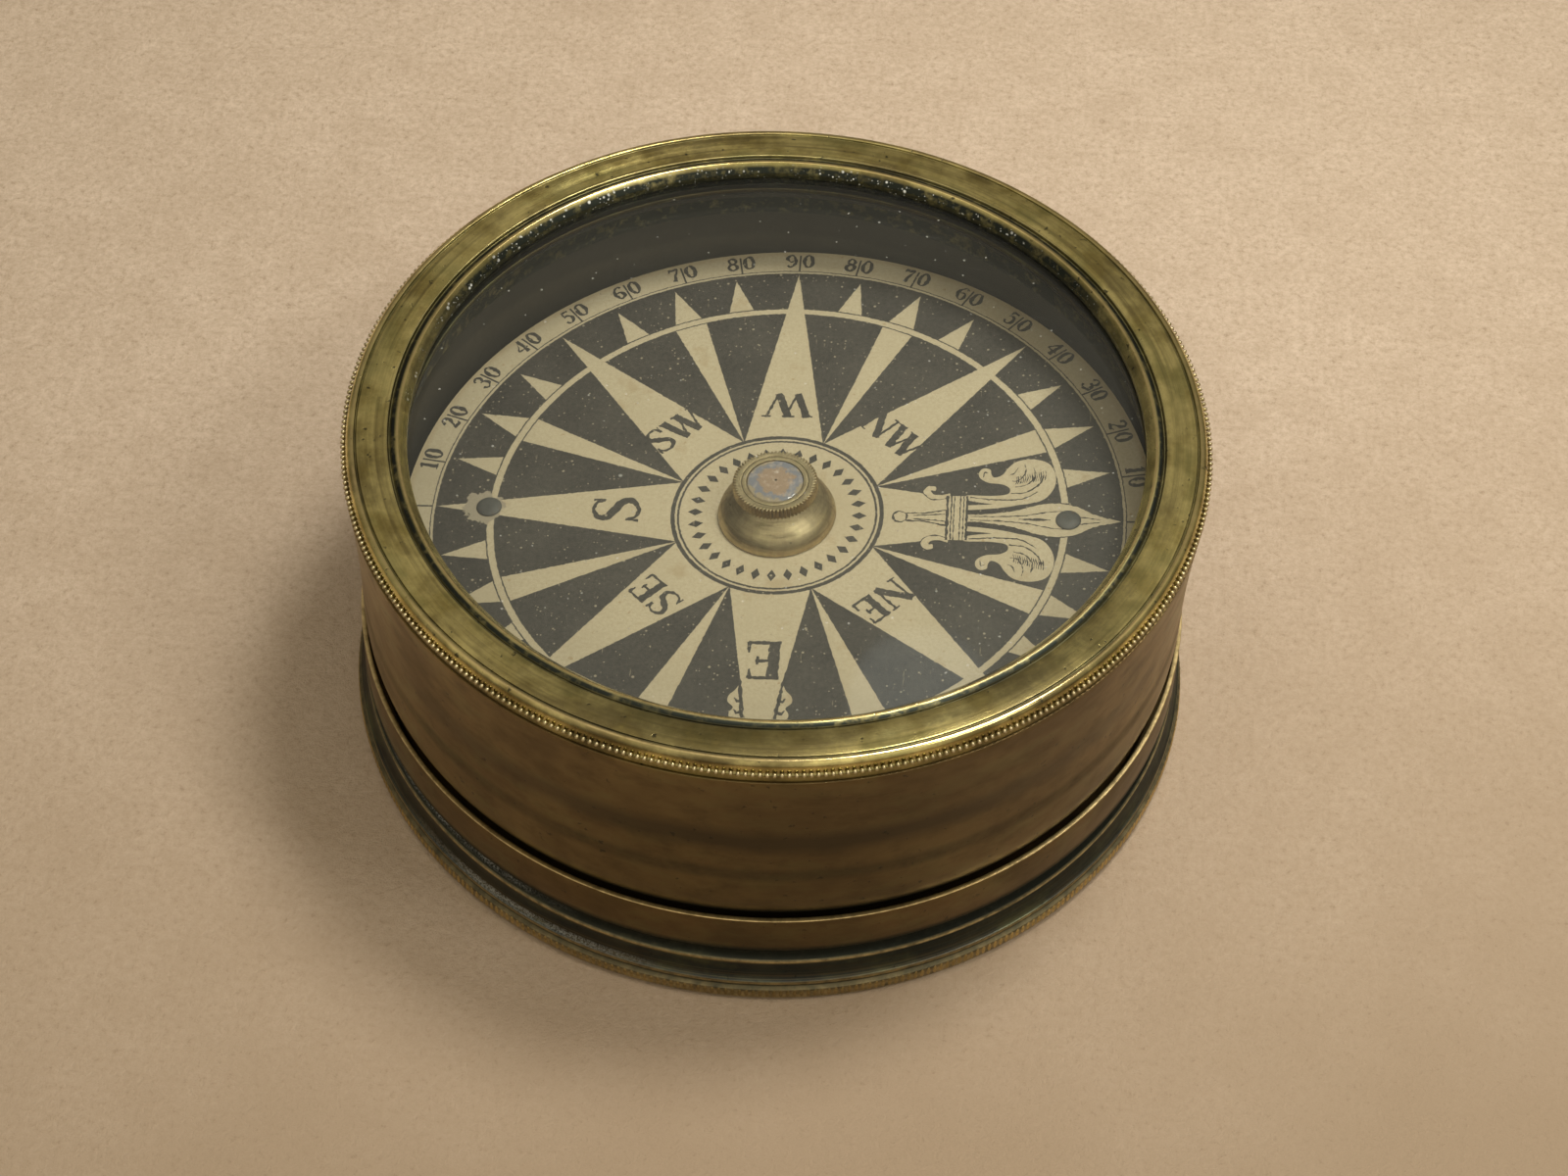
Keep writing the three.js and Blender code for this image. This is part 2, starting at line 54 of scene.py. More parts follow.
# Node trees
# One output of a node. Sums and products of outputs and numbers add Math nodes.
class Wire:
    def __init__(self, tree, socket):
        self.tree = tree
        self.socket = socket

    def math(self, operation, *values, clamp=False):
        return self.tree.add("ShaderNodeMath", dict(enumerate(values)), operation=operation, use_clamp=clamp)

    def __add__(self, other):
        return self.math("ADD", self, other)

    def __radd__(self, other):
        return self.math("ADD", other, self)

    def __sub__(self, other):
        return self.math("SUBTRACT", self, other)

    def __rsub__(self, other):
        return self.math("SUBTRACT", other, self)

    def __mul__(self, other):
        return self.math("MULTIPLY", self, other)

    def __rmul__(self, other):
        return self.math("MULTIPLY", other, self)

    def __truediv__(self, other):
        return self.math("DIVIDE", self, other)

    def __rtruediv__(self, other):
        return self.math("DIVIDE", other, self)

    def power(self, other):
        return self.math("POWER", self, other)

    def cosine(self):
        return self.math("COSINE", self)

    def sine(self):
        return self.math("SINE", self)

    def absolute(self):
        return self.math("ABSOLUTE", self)

    def least(self, other):
        return self.math("MINIMUM", self, other)

    def most(self, other):
        return self.math("MAXIMUM", self, other)

    def clamped(self):
        return self.math("ADD", self, 0, clamp=True)

    def wrapped(self, low, high):
        return self.math("WRAP", self, high, low)

    # 1 where this value is above the edge, over a soft step as wide as blur
    def over(self, edge, blur):
        return ((self - edge) / blur + 0.5).clamped()

    # 1 within half a width of a middle value
    def near(self, middle, width, blur):
        return ((width / 2 - (self - middle).absolute()) / blur + 0.5).clamped()

    # another output of the same node
    def other(self, name):
        return Wire(self.tree, self.socket.node.outputs[name])


# The distance from an axis, and the angle round it
def polar(x, y):
    return (x * x + y * y).power(0.5), x.math("ARCTAN2", y, x)


# A node tree that is being filled
class Tree:
    def __init__(self, tree):
        self.tree = tree
        self.tree.nodes.clear()

    # any node: its settings are set first, then its sockets are fed, and its output comes back, if it has one
    def add(self, kind, inputs=None, output=0, **settings):
        node = self.tree.nodes.new(kind)
        for name, value in settings.items():
            if name == "stops":
                self.fillRamp(node.color_ramp, value)
            else:
                setattr(node, name, value)
        for name, value in (inputs or {}).items():
            if isinstance(value, Wire):
                self.tree.links.new(value.socket, node.inputs[name])
            else:
                node.inputs[name].default_value = value
        if len(node.outputs):
            return Wire(self, node.outputs[output])

    def fillRamp(self, ramp, stops):
        while len(ramp.elements) < len(stops):
            ramp.elements.new(1)
        for element, (place, colour) in zip(ramp.elements, stops):
            element.position = place
            element.color = (*colour, 1)

    def vector(self, x, y, z):
        return self.add("ShaderNodeCombineXYZ", {"X": x, "Y": y, "Z": z})


# A material that is being painted, and the place that it reads: in mm from the object's origin, or another
# coordinate that is scaled and moved
class Finish(Tree):
    def __init__(self, name, source="Object", scale=(1 / mm, 1 / mm, 1 / mm), shift=(0, 0, 0)):
        self.material = bpy.data.materials.new(name)
        self.material.use_nodes = True
        super().__init__(self.material.node_tree)
        point = self.add("ShaderNodeTexCoord", output=source)
        self.place = self.add("ShaderNodeMapping", {"Vector": point, "Location": shift, "Scale": scale})
        self.x = self.add("ShaderNodeSeparateXYZ", {"Vector": self.place})
        self.y = self.x.other("Y")
        self.z = self.x.other("Z")
        self.radius, self.angle = polar(self.x, self.y)

    # 0..1 noise at the place, or at another vector; each lift gives another pattern
    def noise(self, scale, detail=3, roughness=0.55, lift=0, at=None):
        inputs = {"Vector": at or self.place, "Scale": scale, "Detail": detail, "Roughness": roughness}
        if lift:
            return self.add("ShaderNodeTexNoise", {**inputs, "W": lift}, noise_dimensions="4D")
        return self.add("ShaderNodeTexNoise", inputs)

    # the place, stretched along its axes
    def stretched(self, *factors):
        return self.add("ShaderNodeVectorMath", {0: self.place, 1: factors}, operation="MULTIPLY")

    # round specks in a share of the cells of a random grid; size is a part of a cell
    def specks(self, scale, size, share):
        cells = self.add("ShaderNodeTexVoronoi", {"Vector": self.place, "Scale": scale})
        picked = self.add("ShaderNodeSeparateColor", {"Color": cells.other("Color")})
        reach = picked.other("Green") * size
        return (reach - cells.other("Distance")).over(0, size * 0.4) * (share - picked).over(0, 0.01)

    # the Mix node's colours are its inputs 6 and 7 and its output 2
    def mix(self, factor, first, second):
        colours = [value if isinstance(value, Wire) else (*value, 1) for value in (first, second)]
        return self.add("ShaderNodeMix", {0: factor, 6: colours[0], 7: colours[1]}, 2, data_type="RGBA")

    # relief as deep as the distance, in mm
    def bump(self, strength, distance, height):
        return self.add("ShaderNodeBump", {"Strength": strength, "Distance": distance * mm, "Height": height})

    def surface(self, shader):
        self.add("ShaderNodeOutputMaterial", {"Surface": shader})
        return self.material

    def principled(self, **sockets):
        inputs = {name.replace("_", " "): value for name, value in sockets.items()}
        return self.surface(self.add("ShaderNodeBsdfPrincipled", inputs))


# Brass
brass = {
    "bright": (0.85, 0.68, 0.34), "patina": (0.026, 0.03, 0.024), "tarnish": (0.1, 0.07, 0.03),
    "green": (0.3, 0.33, 0.13), "rubbed": (0.44, 0.48, 0.48), "paintedShadeColour": (0.07, 0.055, 0.032),
    "dust": (0.62, 0.64, 0.6), "paleCover": 0.85,
}


# Turned brass: fine rings from the lathe, cloudy tarnish, dark recesses, bright edges that are partly worn
# metal and partly painted highlight, and pale residue. Each band is (along, middle, width, strength), where
# along is "radius" or "z", in mm. A dark band may run over part of the circle only, where it is painted
# shade, and a rubbed one always does: two more figures give its middle and width in degrees. Each place of
# painted shade is (angle, angular width, height, width in height, strength). Crumbs lie in a band that is
# (along, middle, width, angle, angular width).
def brassFinish(name, base, cloud, roughness, darkBands=(), wearAndHighlightBands=(), rubbedBands=(), paintedShadePlaces=(),
                crumbs=(), cloudScale=0.16, spots=0.5, mottle=0.3, lathed=True):
    paint = Finish(name)
    radius, angle, z = paint.radius, paint.angle, paint.z

    def band(where, middle, width, soft):
        return {"radius": radius, "z": z}[where].near(middle, width, width * soft)

    def sector(turn, wide, soft):
        return angle.near(math.radians(turn), math.radians(wide), math.radians(wide) * soft)

    # broad clouds, smears along the turning or across it, patches a few mm wide, pinholes, and what breaks up
    # the edges of bands
    fine, around = (2.2, 1.6) if lathed else (0.5, 13)
    clouds = paint.noise(cloudScale, 5, 0.62)
    smears = paint.noise(0.9, 4, 0.6, 3, paint.vector(radius * fine, angle * around, z * fine))
    patches = paint.noise(0.42, 5, 0.62, 6, paint.vector(radius * 0.8, angle * 14, z * 0.8))
    pits = paint.noise(1.5, 2, 0.5, 9)
    ragged = paint.noise(1.1, 3, 0.6, 5)

    colour = paint.mix(clouds.over(0.52, 0.22), base, cloud)
    colour = paint.mix(smears.over(0.6, 0.2) * 0.55, colour, brass["tarnish"])
    colour = paint.mix(patches.over(0.56, 0.14) * mottle, colour, brass["tarnish"])
    colour = paint.mix((1 - patches).over(0.56, 0.12) * mottle * 0.6, colour, brass["green"])
    if lathed:
        rings = paint.noise(1, 3, 0.6, 15, paint.vector(radius * 3.4, z * 3.4, angle * 0.3))
        colour = paint.mix(rings.over(0.5, 0.25) * 0.16, colour, brass["tarnish"])
        colour = paint.mix((1 - rings).over(0.58, 0.1) * 0.08, colour, brass["bright"])
    # painted shade: each place is darkened towards a dark brown where less light falls on it
    for turn, wide, height, tall, strength in paintedShadePlaces:
        mask = sector(turn, wide, 0.7) * (z + (clouds - 0.5) * 2.8).near(height, tall, tall * 0.6)
        colour = paint.mix(mask * strength, colour, brass["paintedShadeColour"])
    colour = paint.mix(pits.over(0.7, 0.06) * spots, colour, brass["patina"])

    # dark bands are rougher than the rest, and bright ones are smoother
    rough = roughness + (clouds - 0.5) * 0.16 + (smears - 0.5) * 0.1 + (patches - 0.5) * mottle * 0.6
    for where, middle, width, strength, *part in darkBands:
        mask = band(where, middle, width, 0.5) * (ragged * 1.4 + 0.3).clamped() * strength
        # a dark band over part of the circle only is painted shade
        if part:
            mask = mask * sector(*part, 0.3)
        colour = paint.mix(mask, colour, brass["patina"])
        rough = rough + mask * 0.25
    # bright bands along edges: partly worn metal, partly painted highlight
    for where, middle, width, strength in wearAndHighlightBands:
        mask = band(where, middle, width, 0.6) * (ragged * 2.2 - 0.4).clamped() * strength
        colour = paint.mix(mask, colour, brass["bright"])
        rough = rough - mask * 0.12

    # pale residue hides the metal
    pale = []
    for where, middle, width, strength, turn, wide in rubbedBands:
        broken = (patches.over(0.5, 0.12) * 0.6 + 0.4) * paint.noise(5.5, 3, 0.75, 12).over(0.5, 0.1)
        pale.append(band(where, middle, width, 0.4) * broken * strength * sector(turn, wide, 0.6))
        colour = paint.mix(pale[-1], colour, brass["rubbed"])
    for where, middle, width, turn, wide in crumbs:
        grains = paint.specks(2.4, 0.42, 0.2).most(paint.specks(5.2, 0.4, 0.25)) * ragged.over(0.47, 0.1)
        pale.append(grains * band(where, middle, width, 0.3) * sector(turn, wide, 0.5))
        colour = paint.mix(pale[-1], colour, brass["dust"])
    metallic = 1 - functools.reduce(Wire.most, pale) * brass["paleCover"] if pale else 1

    lathe = paint.noise(1, 2, 0.5, 2, paint.vector(radius * 9, z * 9, angle * 0.35))
    scratches = paint.noise(1.4, 3, 0.6, 4, paint.vector(radius * 3, z * 3, angle * 9))
    height = lathe * 0.5 + scratches * 0.35 - pits.over(0.68, 0.05) * 0.6
    relief = paint.bump(0.22, 0.04, height)
    return paint.principled(Base_Color=colour, Metallic=metallic, Roughness=rough.clamped(), Normal=relief)


# Turned pieces
# Corners under "nearlyStraight", in radians, stay as they are, and a round takes at most "sideShare" of a
# side. A side under "shortest", in mm, isn't rounded, and points within "weld", in metres, become one.
turning = {
    "facets": 360, "corner": 0.08, "cornerSteps": 3, "sharpDegrees": 32, "nearlyStraight": 0.35,
    "sideShare": 0.4, "shortest": 1e-6, "weld": 1e-7, "toothSegments": 10, "toothRings": 6,
}


# A profile with a small round on each corner that is off the axis
def rounded(profile, size=turning["corner"], steps=turning["cornerSteps"]):
    points = []
    for i, (x, z) in enumerate(profile):
        here = Vector((x, z))
        back = Vector(profile[i - 1]) - here
        on = Vector(profile[(i + 1) % len(profile)]) - here
        side = min(back.length, on.length)
        if x <= 0 or side < turning["shortest"] or math.pi - back.angle(on) < turning["nearlyStraight"]:
            points.append((x, z))
            continue
        reach = min(size, side * turning["sideShare"])
        start, end = here + back.normalized() * reach, here + on.normalized() * reach
        for k in range(steps + 1):
            t = k / steps
            spot = start * (1 - t) ** 2 + here * 2 * t * (1 - t) + end * t ** 2
            points.append((spot.x, spot.y))
    return points


# A quarter of an ellipse between two points of a profile, which leaves its start upright or else level
def quarter(start, end, steps, upright=True):
    corner = (start[0], end[1]) if upright else (end[0], start[1])
    points = []
    for i in range(steps):
        turn = math.pi / 2 * i / steps
        across, along = math.sin(turn), 1 - math.cos(turn)
        points.append(tuple(
            start[k] + (corner[k] - start[k]) * across + (end[k] - corner[k]) * along for k in (0, 1)
        ))
    return points + [end]


def addObject(name, data):
    thing = bpy.data.objects.new(name, data)
    bpy.context.scene.collection.objects.link(thing)
    return thing


# A Geometry Nodes group with named inputs, its tree, and the first of its inputs
def newGroup(name, inputs):
    group = bpy.data.node_groups.new(name, "GeometryNodeTree")
    for label, kind in inputs.items():
        group.interface.new_socket(label, in_out="INPUT", socket_type="NodeSocket" + kind)
    group.interface.new_socket("Geometry", in_out="OUTPUT", socket_type="NodeSocketGeometry")
    tree = Tree(group)
    return group, tree, tree.add("NodeGroupInput")


# Copies of a shape round the axis, each turned with its place, made real and given their material
def setRound(tree, shape, count, radius, size, height, material):
    circle = tree.add("GeometryNodeMeshCircle", {"Vertices": count, "Radius": radius})
    step = tree.add("GeometryNodeInputIndex") * (2 * math.pi) / count.most(1)
    placed = tree.add("GeometryNodeInstanceOnPoints", {
        "Points": circle, "Instance": shape, "Scale": size, "Rotation": tree.vector(0, 0, step),
    })
    raised = tree.add("GeometryNodeTranslateInstances", {
        "Instances": placed, "Translation": tree.vector(0, 0, height), "Local Space": False,
    })
    real = tree.add("GeometryNodeRealizeInstances", {"Geometry": raised})
    return tree.add("GeometryNodeSetMaterial", {"Geometry": real, "Material": material})


# The nodes that turn a profile into a solid, and set a row of teeth round it
def turningGroup():
    group, tree, given = newGroup("turned solid", {
        "Profile": "Geometry", "Facets": "Int", "Finish": "Material", "Teeth": "Int", "Tooth Size": "Vector",
        "Tooth Radius": "Float", "Tooth Height": "Float", "Tooth Finish": "Material",
    })
    facets = given.other("Facets")
    count = tree.add("GeometryNodeAttributeDomainSize", {0: given}, component="MESH")
    grid = tree.add("GeometryNodeMeshGrid", {
        "Size X": 1, "Size Y": 1, "Vertices X": facets + 1, "Vertices Y": count,
    })
    index = tree.add("GeometryNodeInputIndex")
    sample = tree.add("GeometryNodeSampleIndex", {
        "Geometry": given, "Value": tree.add("GeometryNodeInputPosition"),
        "Index": index.math("MODULO", index, count),
    }, data_type="FLOAT_VECTOR")
    place = tree.add("ShaderNodeSeparateXYZ", {"Vector": sample})
    turn = index.math("FLOOR", index / count) * (2 * math.pi) / facets
    spot = tree.vector(place * turn.cosine(), place * turn.sine(), place.other("Z"))
    moved = tree.add("GeometryNodeSetPosition", {"Geometry": grid, "Position": spot})
    welded = tree.add("GeometryNodeMergeByDistance", {"Geometry": moved, "Distance": turning["weld"]})
    body = tree.add("GeometryNodeSetMaterial", {"Geometry": welded, "Material": given.other("Finish")})
    tooth = tree.add("GeometryNodeMeshUVSphere", {
        "Segments": turning["toothSegments"], "Rings": turning["toothRings"], "Radius": 0.5,
    })
    teeth = setRound(
        tree, tooth, given.other("Teeth"), given.other("Tooth Radius"), given.other("Tooth Size"),
        given.other("Tooth Height"), given.other("Tooth Finish"),
    )
    joined = tree.add("GeometryNodeJoinGeometry")
    for part in (body, teeth):
        group.links.new(part.socket, joined.socket.node.inputs[0])
    real = tree.add("GeometryNodeRealizeInstances", {"Geometry": joined})
    smooth = tree.add("GeometryNodeSetShadeSmooth", {"Geometry": real})
    tree.add("NodeGroupOutput", {"Geometry": smooth})
    return group


turnedSolid = turningGroup()


# Runs a node group on a mesh of points, and gives the result as a plain mesh object
def evaluated(name, group, values, points=(), sharp=turning["sharpDegrees"]):
    source = addObject(name + "_source", bpy.data.meshes.new(name + "_source"))
    source.data.from_pydata(list(points), [], [])
    modifier = source.modifiers.new("make", "NODES")
    modifier.node_group = group
    for socket in group.interface.items_tree:
        if socket.in_out == "INPUT" and socket.name in values:
            modifier[socket.identifier] = values[socket.name]
    bpy.context.view_layer.update()
    depsgraph = bpy.context.evaluated_depsgraph_get()
    made = bpy.data.meshes.new_from_object(source.evaluated_get(depsgraph), depsgraph=depsgraph)
    source.modifiers.remove(modifier)
    bpy.data.objects.remove(source)
    made.name = name
    made.set_sharp_from_angle(angle=math.radians(sharp))
    return addObject(name, made)


# A solid turned about Z from a profile in mm, which runs up the outside
def turned(name, profile, material, teeth=None, facets=turning["facets"], corner=turning["corner"],
           plane=None):
    points = rounded(profile, corner) if corner else list(profile)
    if profile[0][0] > 0:
        points.append(points[0])
    values = {"Facets": facets, "Finish": material, "Tooth Finish": material, **(teeth or {})}
    piece = evaluated(name, turnedSolid, values, [(x * mm, 0, z * mm) for x, z in points])
    if plane:
        piece.data.transform(plane)
    return piece


# A row of teeth for a turned piece, in mm. A tooth's size is its depth, its width round the piece and its
# height.
def toothRow(count, size, radius, height, material):
    return {
        "Teeth": count, "Tooth Size": [measure * mm for measure in size], "Tooth Radius": radius * mm,
        "Tooth Height": height * mm, "Tooth Finish": material,
    }


def meshPiece(name, verts, faces, material, sharp=turning["sharpDegrees"]):
    mesh = bpy.data.meshes.new(name)
    mesh.from_pydata(verts, [], faces)
    mesh.materials.append(material)
    shape = bmesh.new()
    shape.from_mesh(mesh)
    bmesh.ops.recalc_face_normals(shape, faces=shape.faces)
    shape.to_mesh(mesh)
    shape.free()
    mesh.shade_smooth()
    mesh.set_sharp_from_angle(angle=math.radians(sharp))
    return addObject(name, mesh)


def dress(piece, body, slot, *replaced):
    if replaced:
        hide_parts(*replaced)
    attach(piece, body)


# Radii and levels from the frame, in mm
def radiusOf(node):
    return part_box(node)[1].x / mm


def levels(node):
    low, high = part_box(node)
    return low.z / mm, high.z / mm


# Stage and camera
camera = {
    "focalPixels": 3700, "imageWidth": 1600, "sensor": 36, "elevation": 49.79, "roll": 2.08, "yaw": 2.3,
    "distance": 0.3154, "aimPixel": (793.67, 430.92), "centrePixel": (800, 600), "clip": (0.01, 20),
}


def placeCamera():
    data = bpy.data.cameras.new("camera")
    data.sensor_width = camera["sensor"]
    data.lens = camera["focalPixels"] / camera["imageWidth"] * camera["sensor"]
    data.clip_start, data.clip_end = camera["clip"]
    tilt, roll = math.radians(camera["elevation"]), math.radians(camera["roll"])
    right, up = Vector((1, 0, 0)), Vector((0, math.sin(tilt), math.cos(tilt)))
    view = Vector((0, math.cos(tilt), -math.sin(tilt)))
    rolledRight = right * math.cos(roll) + up * math.sin(roll)
    rolledUp = up * math.cos(roll) - right * math.sin(roll)
    perPixel = camera["distance"] / camera["focalPixels"]
    across = (camera["aimPixel"][0] - camera["centrePixel"][0]) * perPixel
    upward = -(camera["aimPixel"][1] - camera["centrePixel"][1]) * perPixel
    aim = Vector((0, 0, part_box("bezel_ring")[1].z))
    matrix = Matrix((rolledRight, rolledUp, -view)).transposed().to_4x4()
    matrix.translation = aim - rolledRight * across - rolledUp * upward - view * camera["distance"]
    eye = addObject("camera", data)
    eye.matrix_world = Matrix.Rotation(math.radians(camera["yaw"]), 4, "Z") @ matrix
    bpy.context.scene.camera = eye


# The key and the fill light the card and the floor. The window and the lamp behind it only show as glints.
lights = {
    "key": {
        "place": (0.098, 0.075, 0.4), "at": (0.03, 0.045, 0), "size": 0.12, "power": 0.2, "spread": 75,
        "colour": (1, 0.96, 0.89),
    },
    "fill": {
        "place": (0.25, -0.12, 0.4), "at": (0.02, 0.02, 0), "size": 0.09, "power": 0.09, "spread": 90,
        "colour": (1, 0.97, 0.92),
    },
    "window": {
        "place": (0.02, 0.258, 0.39), "at": (0.02, -0.03, 0.03), "size": 0.03, "power": 0.0011, "spread": 180,
        "colour": (0.86, 0.94, 1),
    },
    "lamp": {
        "place": (-0.06, 0.394, 0.36), "at": (-0.02, 0.03, 0.03), "size": 0.02, "power": 0.005, "spread": 180,
        "colour": (1, 0.93, 0.82),
    },
}
# The room is bright overhead and behind the camera, and dark at the back, where the glass looks.
room = {
    "towards": (0.15, -0.5, 0.85), "strength": 1.05,
    "stops": [
        (0.0, (0.2, 0.175, 0.14)), (0.38, (0.28, 0.25, 0.2)), (0.62, (0.6, 0.53, 0.42)),
        (1.0, (1.0, 0.91, 0.75)),
    ],
}


def placeLights():
    for name, light in lights.items():
        data = bpy.data.lights.new(name, "AREA")
        data.shape = "DISK"
        data.size, data.energy, data.color = light["size"], light["power"], light["colour"]
        data.spread = math.radians(light["spread"])
        lamp = addObject(name, data)
        lamp.location = light["place"]
        lamp.rotation_euler = (lamp.location - Vector(light["at"])).to_track_quat("Z", "Y").to_euler()
    world = bpy.data.worlds.new("room")
    world.use_nodes = True
    tree = Tree(world.node_tree)
    direction = tree.add("ShaderNodeTexCoord", output="Generated")
    towards = tree.add(
        "ShaderNodeVectorMath", {0: direction, 1: room["towards"]}, "Value", operation="DOT_PRODUCT",
    )
    ramp = tree.add("ShaderNodeValToRGB", {"Fac": towards}, stops=room["stops"])
    shade = tree.add("ShaderNodeBackground", {"Color": ramp, "Strength": room["strength"]})
    tree.add("ShaderNodeOutputWorld", {"Surface": shade})
    bpy.context.scene.world = world
    bpy.context.scene.view_settings.view_transform = "Standard"


# The floor's colour darkens towards the front, by so much for each mm, as painted shade.
floor = {
    "size": 3, "colour": (0.64, 0.52, 0.4), "shade": (0.4, 0.3, 0.2), "fleck": (0.27, 0.19, 0.12),
    "roughness": 0.9, "middleShade": 0.4, "frontShade": 0.0095, "rightShade": 0.002,
}


def floorFinish():
    paint = Finish("floor")
    nap = paint.noise(1.3, 5, 0.8)
    blots = paint.noise(0.22, 4, 0.65, 3)
    broad = paint.noise(0.05, 3, 0.6, 6)
    # painted shade: darker towards the front and a little towards the right, broken by broad clouds
    away = (floor["middleShade"] - paint.y * floor["frontShade"] + paint.x * floor["rightShade"]).clamped()
    colour = paint.mix((away + (broad - 0.5) * 0.6).clamped(), floor["colour"], floor["shade"])
    colour = paint.mix(blots.over(0.52, 0.3) * 0.3, colour, floor["shade"])
    colour = paint.mix(nap.over(0.5, 0.22) * 0.6, colour, floor["shade"])
    colour = paint.mix(nap.over(0.63, 0.06) * 0.4, colour, floor["fleck"])
    return paint.principled(Base_Color=colour, Roughness=floor["roughness"], Normal=paint.bump(0.8, 0.4, nap))


def placeFloor():
    half = floor["size"] / 2
    corners = [(-half, -half, 0), (half, -half, 0), (half, half, 0), (-half, half, 0)]
    mesh = bpy.data.meshes.new("floor")
    mesh.from_pydata(corners, [], [(0, 1, 2, 3)])
    mesh.materials.append(floorFinish())
    addObject("floor", mesh)


placeCamera()
placeLights()
placeFloor()
print("stage: camera, lights, floor")


# Bezel
bezel = {
    "band": 0.32, "edge": 0.5, "beadDrop": 1.06, "lipDrop": 0.78, "lipWidth": 1.05, "lipLand": 0.2,
    "grooveWidth": 0.2, "grooveDepth": 0.2, "faceDrop": 0.06, "quirkWidth": 0.2, "quirkDepth": 0.28,
    "rollWidth": 0.75, "bevelWidth": 0.7, "bevelDrop": 0.8, "lipThickness": 1.4, "skirtWall": 1.7,
    "rebate": 1.2, "flange": 2.0, "slide": 2.9, "chamfer": 0.2, "beads": 400, "beadSize": (0.46, 0.4, 0.42),
    "beadInset": 0.03, "facets": 800,
}


def makeBezel():
    outer = radiusOf("bezel_ring")
    low, top = levels("bezel_ring")
    skirt = outer - bezel["slide"]
    rebate = skirt - bezel["skirtWall"]
    opening = rebate - bezel["rebate"]
    band = outer - bezel["band"]
    edge = outer - bezel["edge"]
    lipOuter = outer - bezel["lipWidth"]
    lipInner = lipOuter - bezel["lipLand"]
    grooveInner = lipInner - bezel["grooveWidth"]
    grooveSide = bezel["grooveWidth"] / 4
    ridge = opening + bezel["bevelWidth"]
    quirkInner = ridge + bezel["rollWidth"]
    quirk = quirkInner + bezel["quirkWidth"] / 2
    faceInner = quirkInner + bezel["quirkWidth"]
    under = top - bezel["flange"]
    beadLevel = top - bezel["beadDrop"]
    grooveFloor = top - bezel["grooveDepth"]
    face = top - bezel["faceDrop"]
    quirkFloor = face - bezel["quirkDepth"]
    glassSeat = top - bezel["lipThickness"]
    profile = [
        (rebate, low), (skirt, low), (skirt, under), (band, under), (band, beadLevel - bezel["chamfer"]),
        (edge, beadLevel), *quarter((edge, top - bezel["lipDrop"]), (lipOuter, top), 6),
        (lipInner, top), (lipInner - grooveSide, grooveFloor), (grooveInner + grooveSide, grooveFloor),
        (grooveInner, face), (faceInner, face), (quirk, quirkFloor),
        *quarter((quirkInner, quirkFloor), (ridge, top), 5),
        (opening, top - bezel["bevelDrop"]), (opening, glassSeat), (rebate, glassSeat),
    ]
    material = brassFinish(
        "bezelBrass", (0.95, 0.82, 0.34), (0.5, 0.41, 0.14), 0.19,
        darkBands=[
            ("radius", (lipInner + grooveInner) / 2, 0.24, 0.7), ("radius", quirk, 0.34, 0.75),
            # the dark band on the bevel over the back of the circle is painted shade
            ("radius", opening + 0.2, 0.7, 1.0, 95, 165), ("radius", rebate, 0.5, 1.0),
            ("z", top - 1.6, 1.2, 0.6),
        ],
        # the bright bands on the ridge and the outer lip are partly worn metal and partly painted highlight
        wearAndHighlightBands=[("radius", ridge + 0.1, 0.2, 1.0), ("radius", lipOuter, 0.24, 0.8)],
        # painted shade: two places at the front of the face are darkened, which narrows the highlight between
        # them
        paintedShadePlaces=[(-98, 40, top, 1.2, 0.6), (-46, 30, top, 1.2, 0.6)],
        crumbs=[("radius", opening + 0.2, 0.6, 110, 130)], cloudScale=0.24, spots=0.8, mottle=0.55,
    )
    beadBrass = brassFinish(
        "beadBrass", (0.66, 0.57, 0.35), (0.5, 0.43, 0.24), 0.4, cloudScale=0.2, spots=0.4, mottle=0.2,
    )
    beadRadius = outer - bezel["beadSize"][0] / 2 - bezel["beadInset"]
    beads = toothRow(bezel["beads"], bezel["beadSize"], beadRadius, beadLevel, beadBrass)
    piece = turned("bezel", profile, material, beads, facets=bezel["facets"])
    dress(piece, "bezel", "bezel_brass", "bezel_ring")


makeBezel()
print("bezel: turned, with", bezel["beads"], "beads")


# Drum
drum = {
    "wall": 1.95, "flare": 0.7, "flareSteps": 16, "tuck": 1.1, "tuckHeight": 3.4, "straight": 2.8,
    "footHeight": 7.5, "ledge": 1.0, "ledgeHeight": 1.7, "lining": 0.25, "liningCorner": 0.03,
    "liningShade": 21.5, "liningFade": 0.8,
}


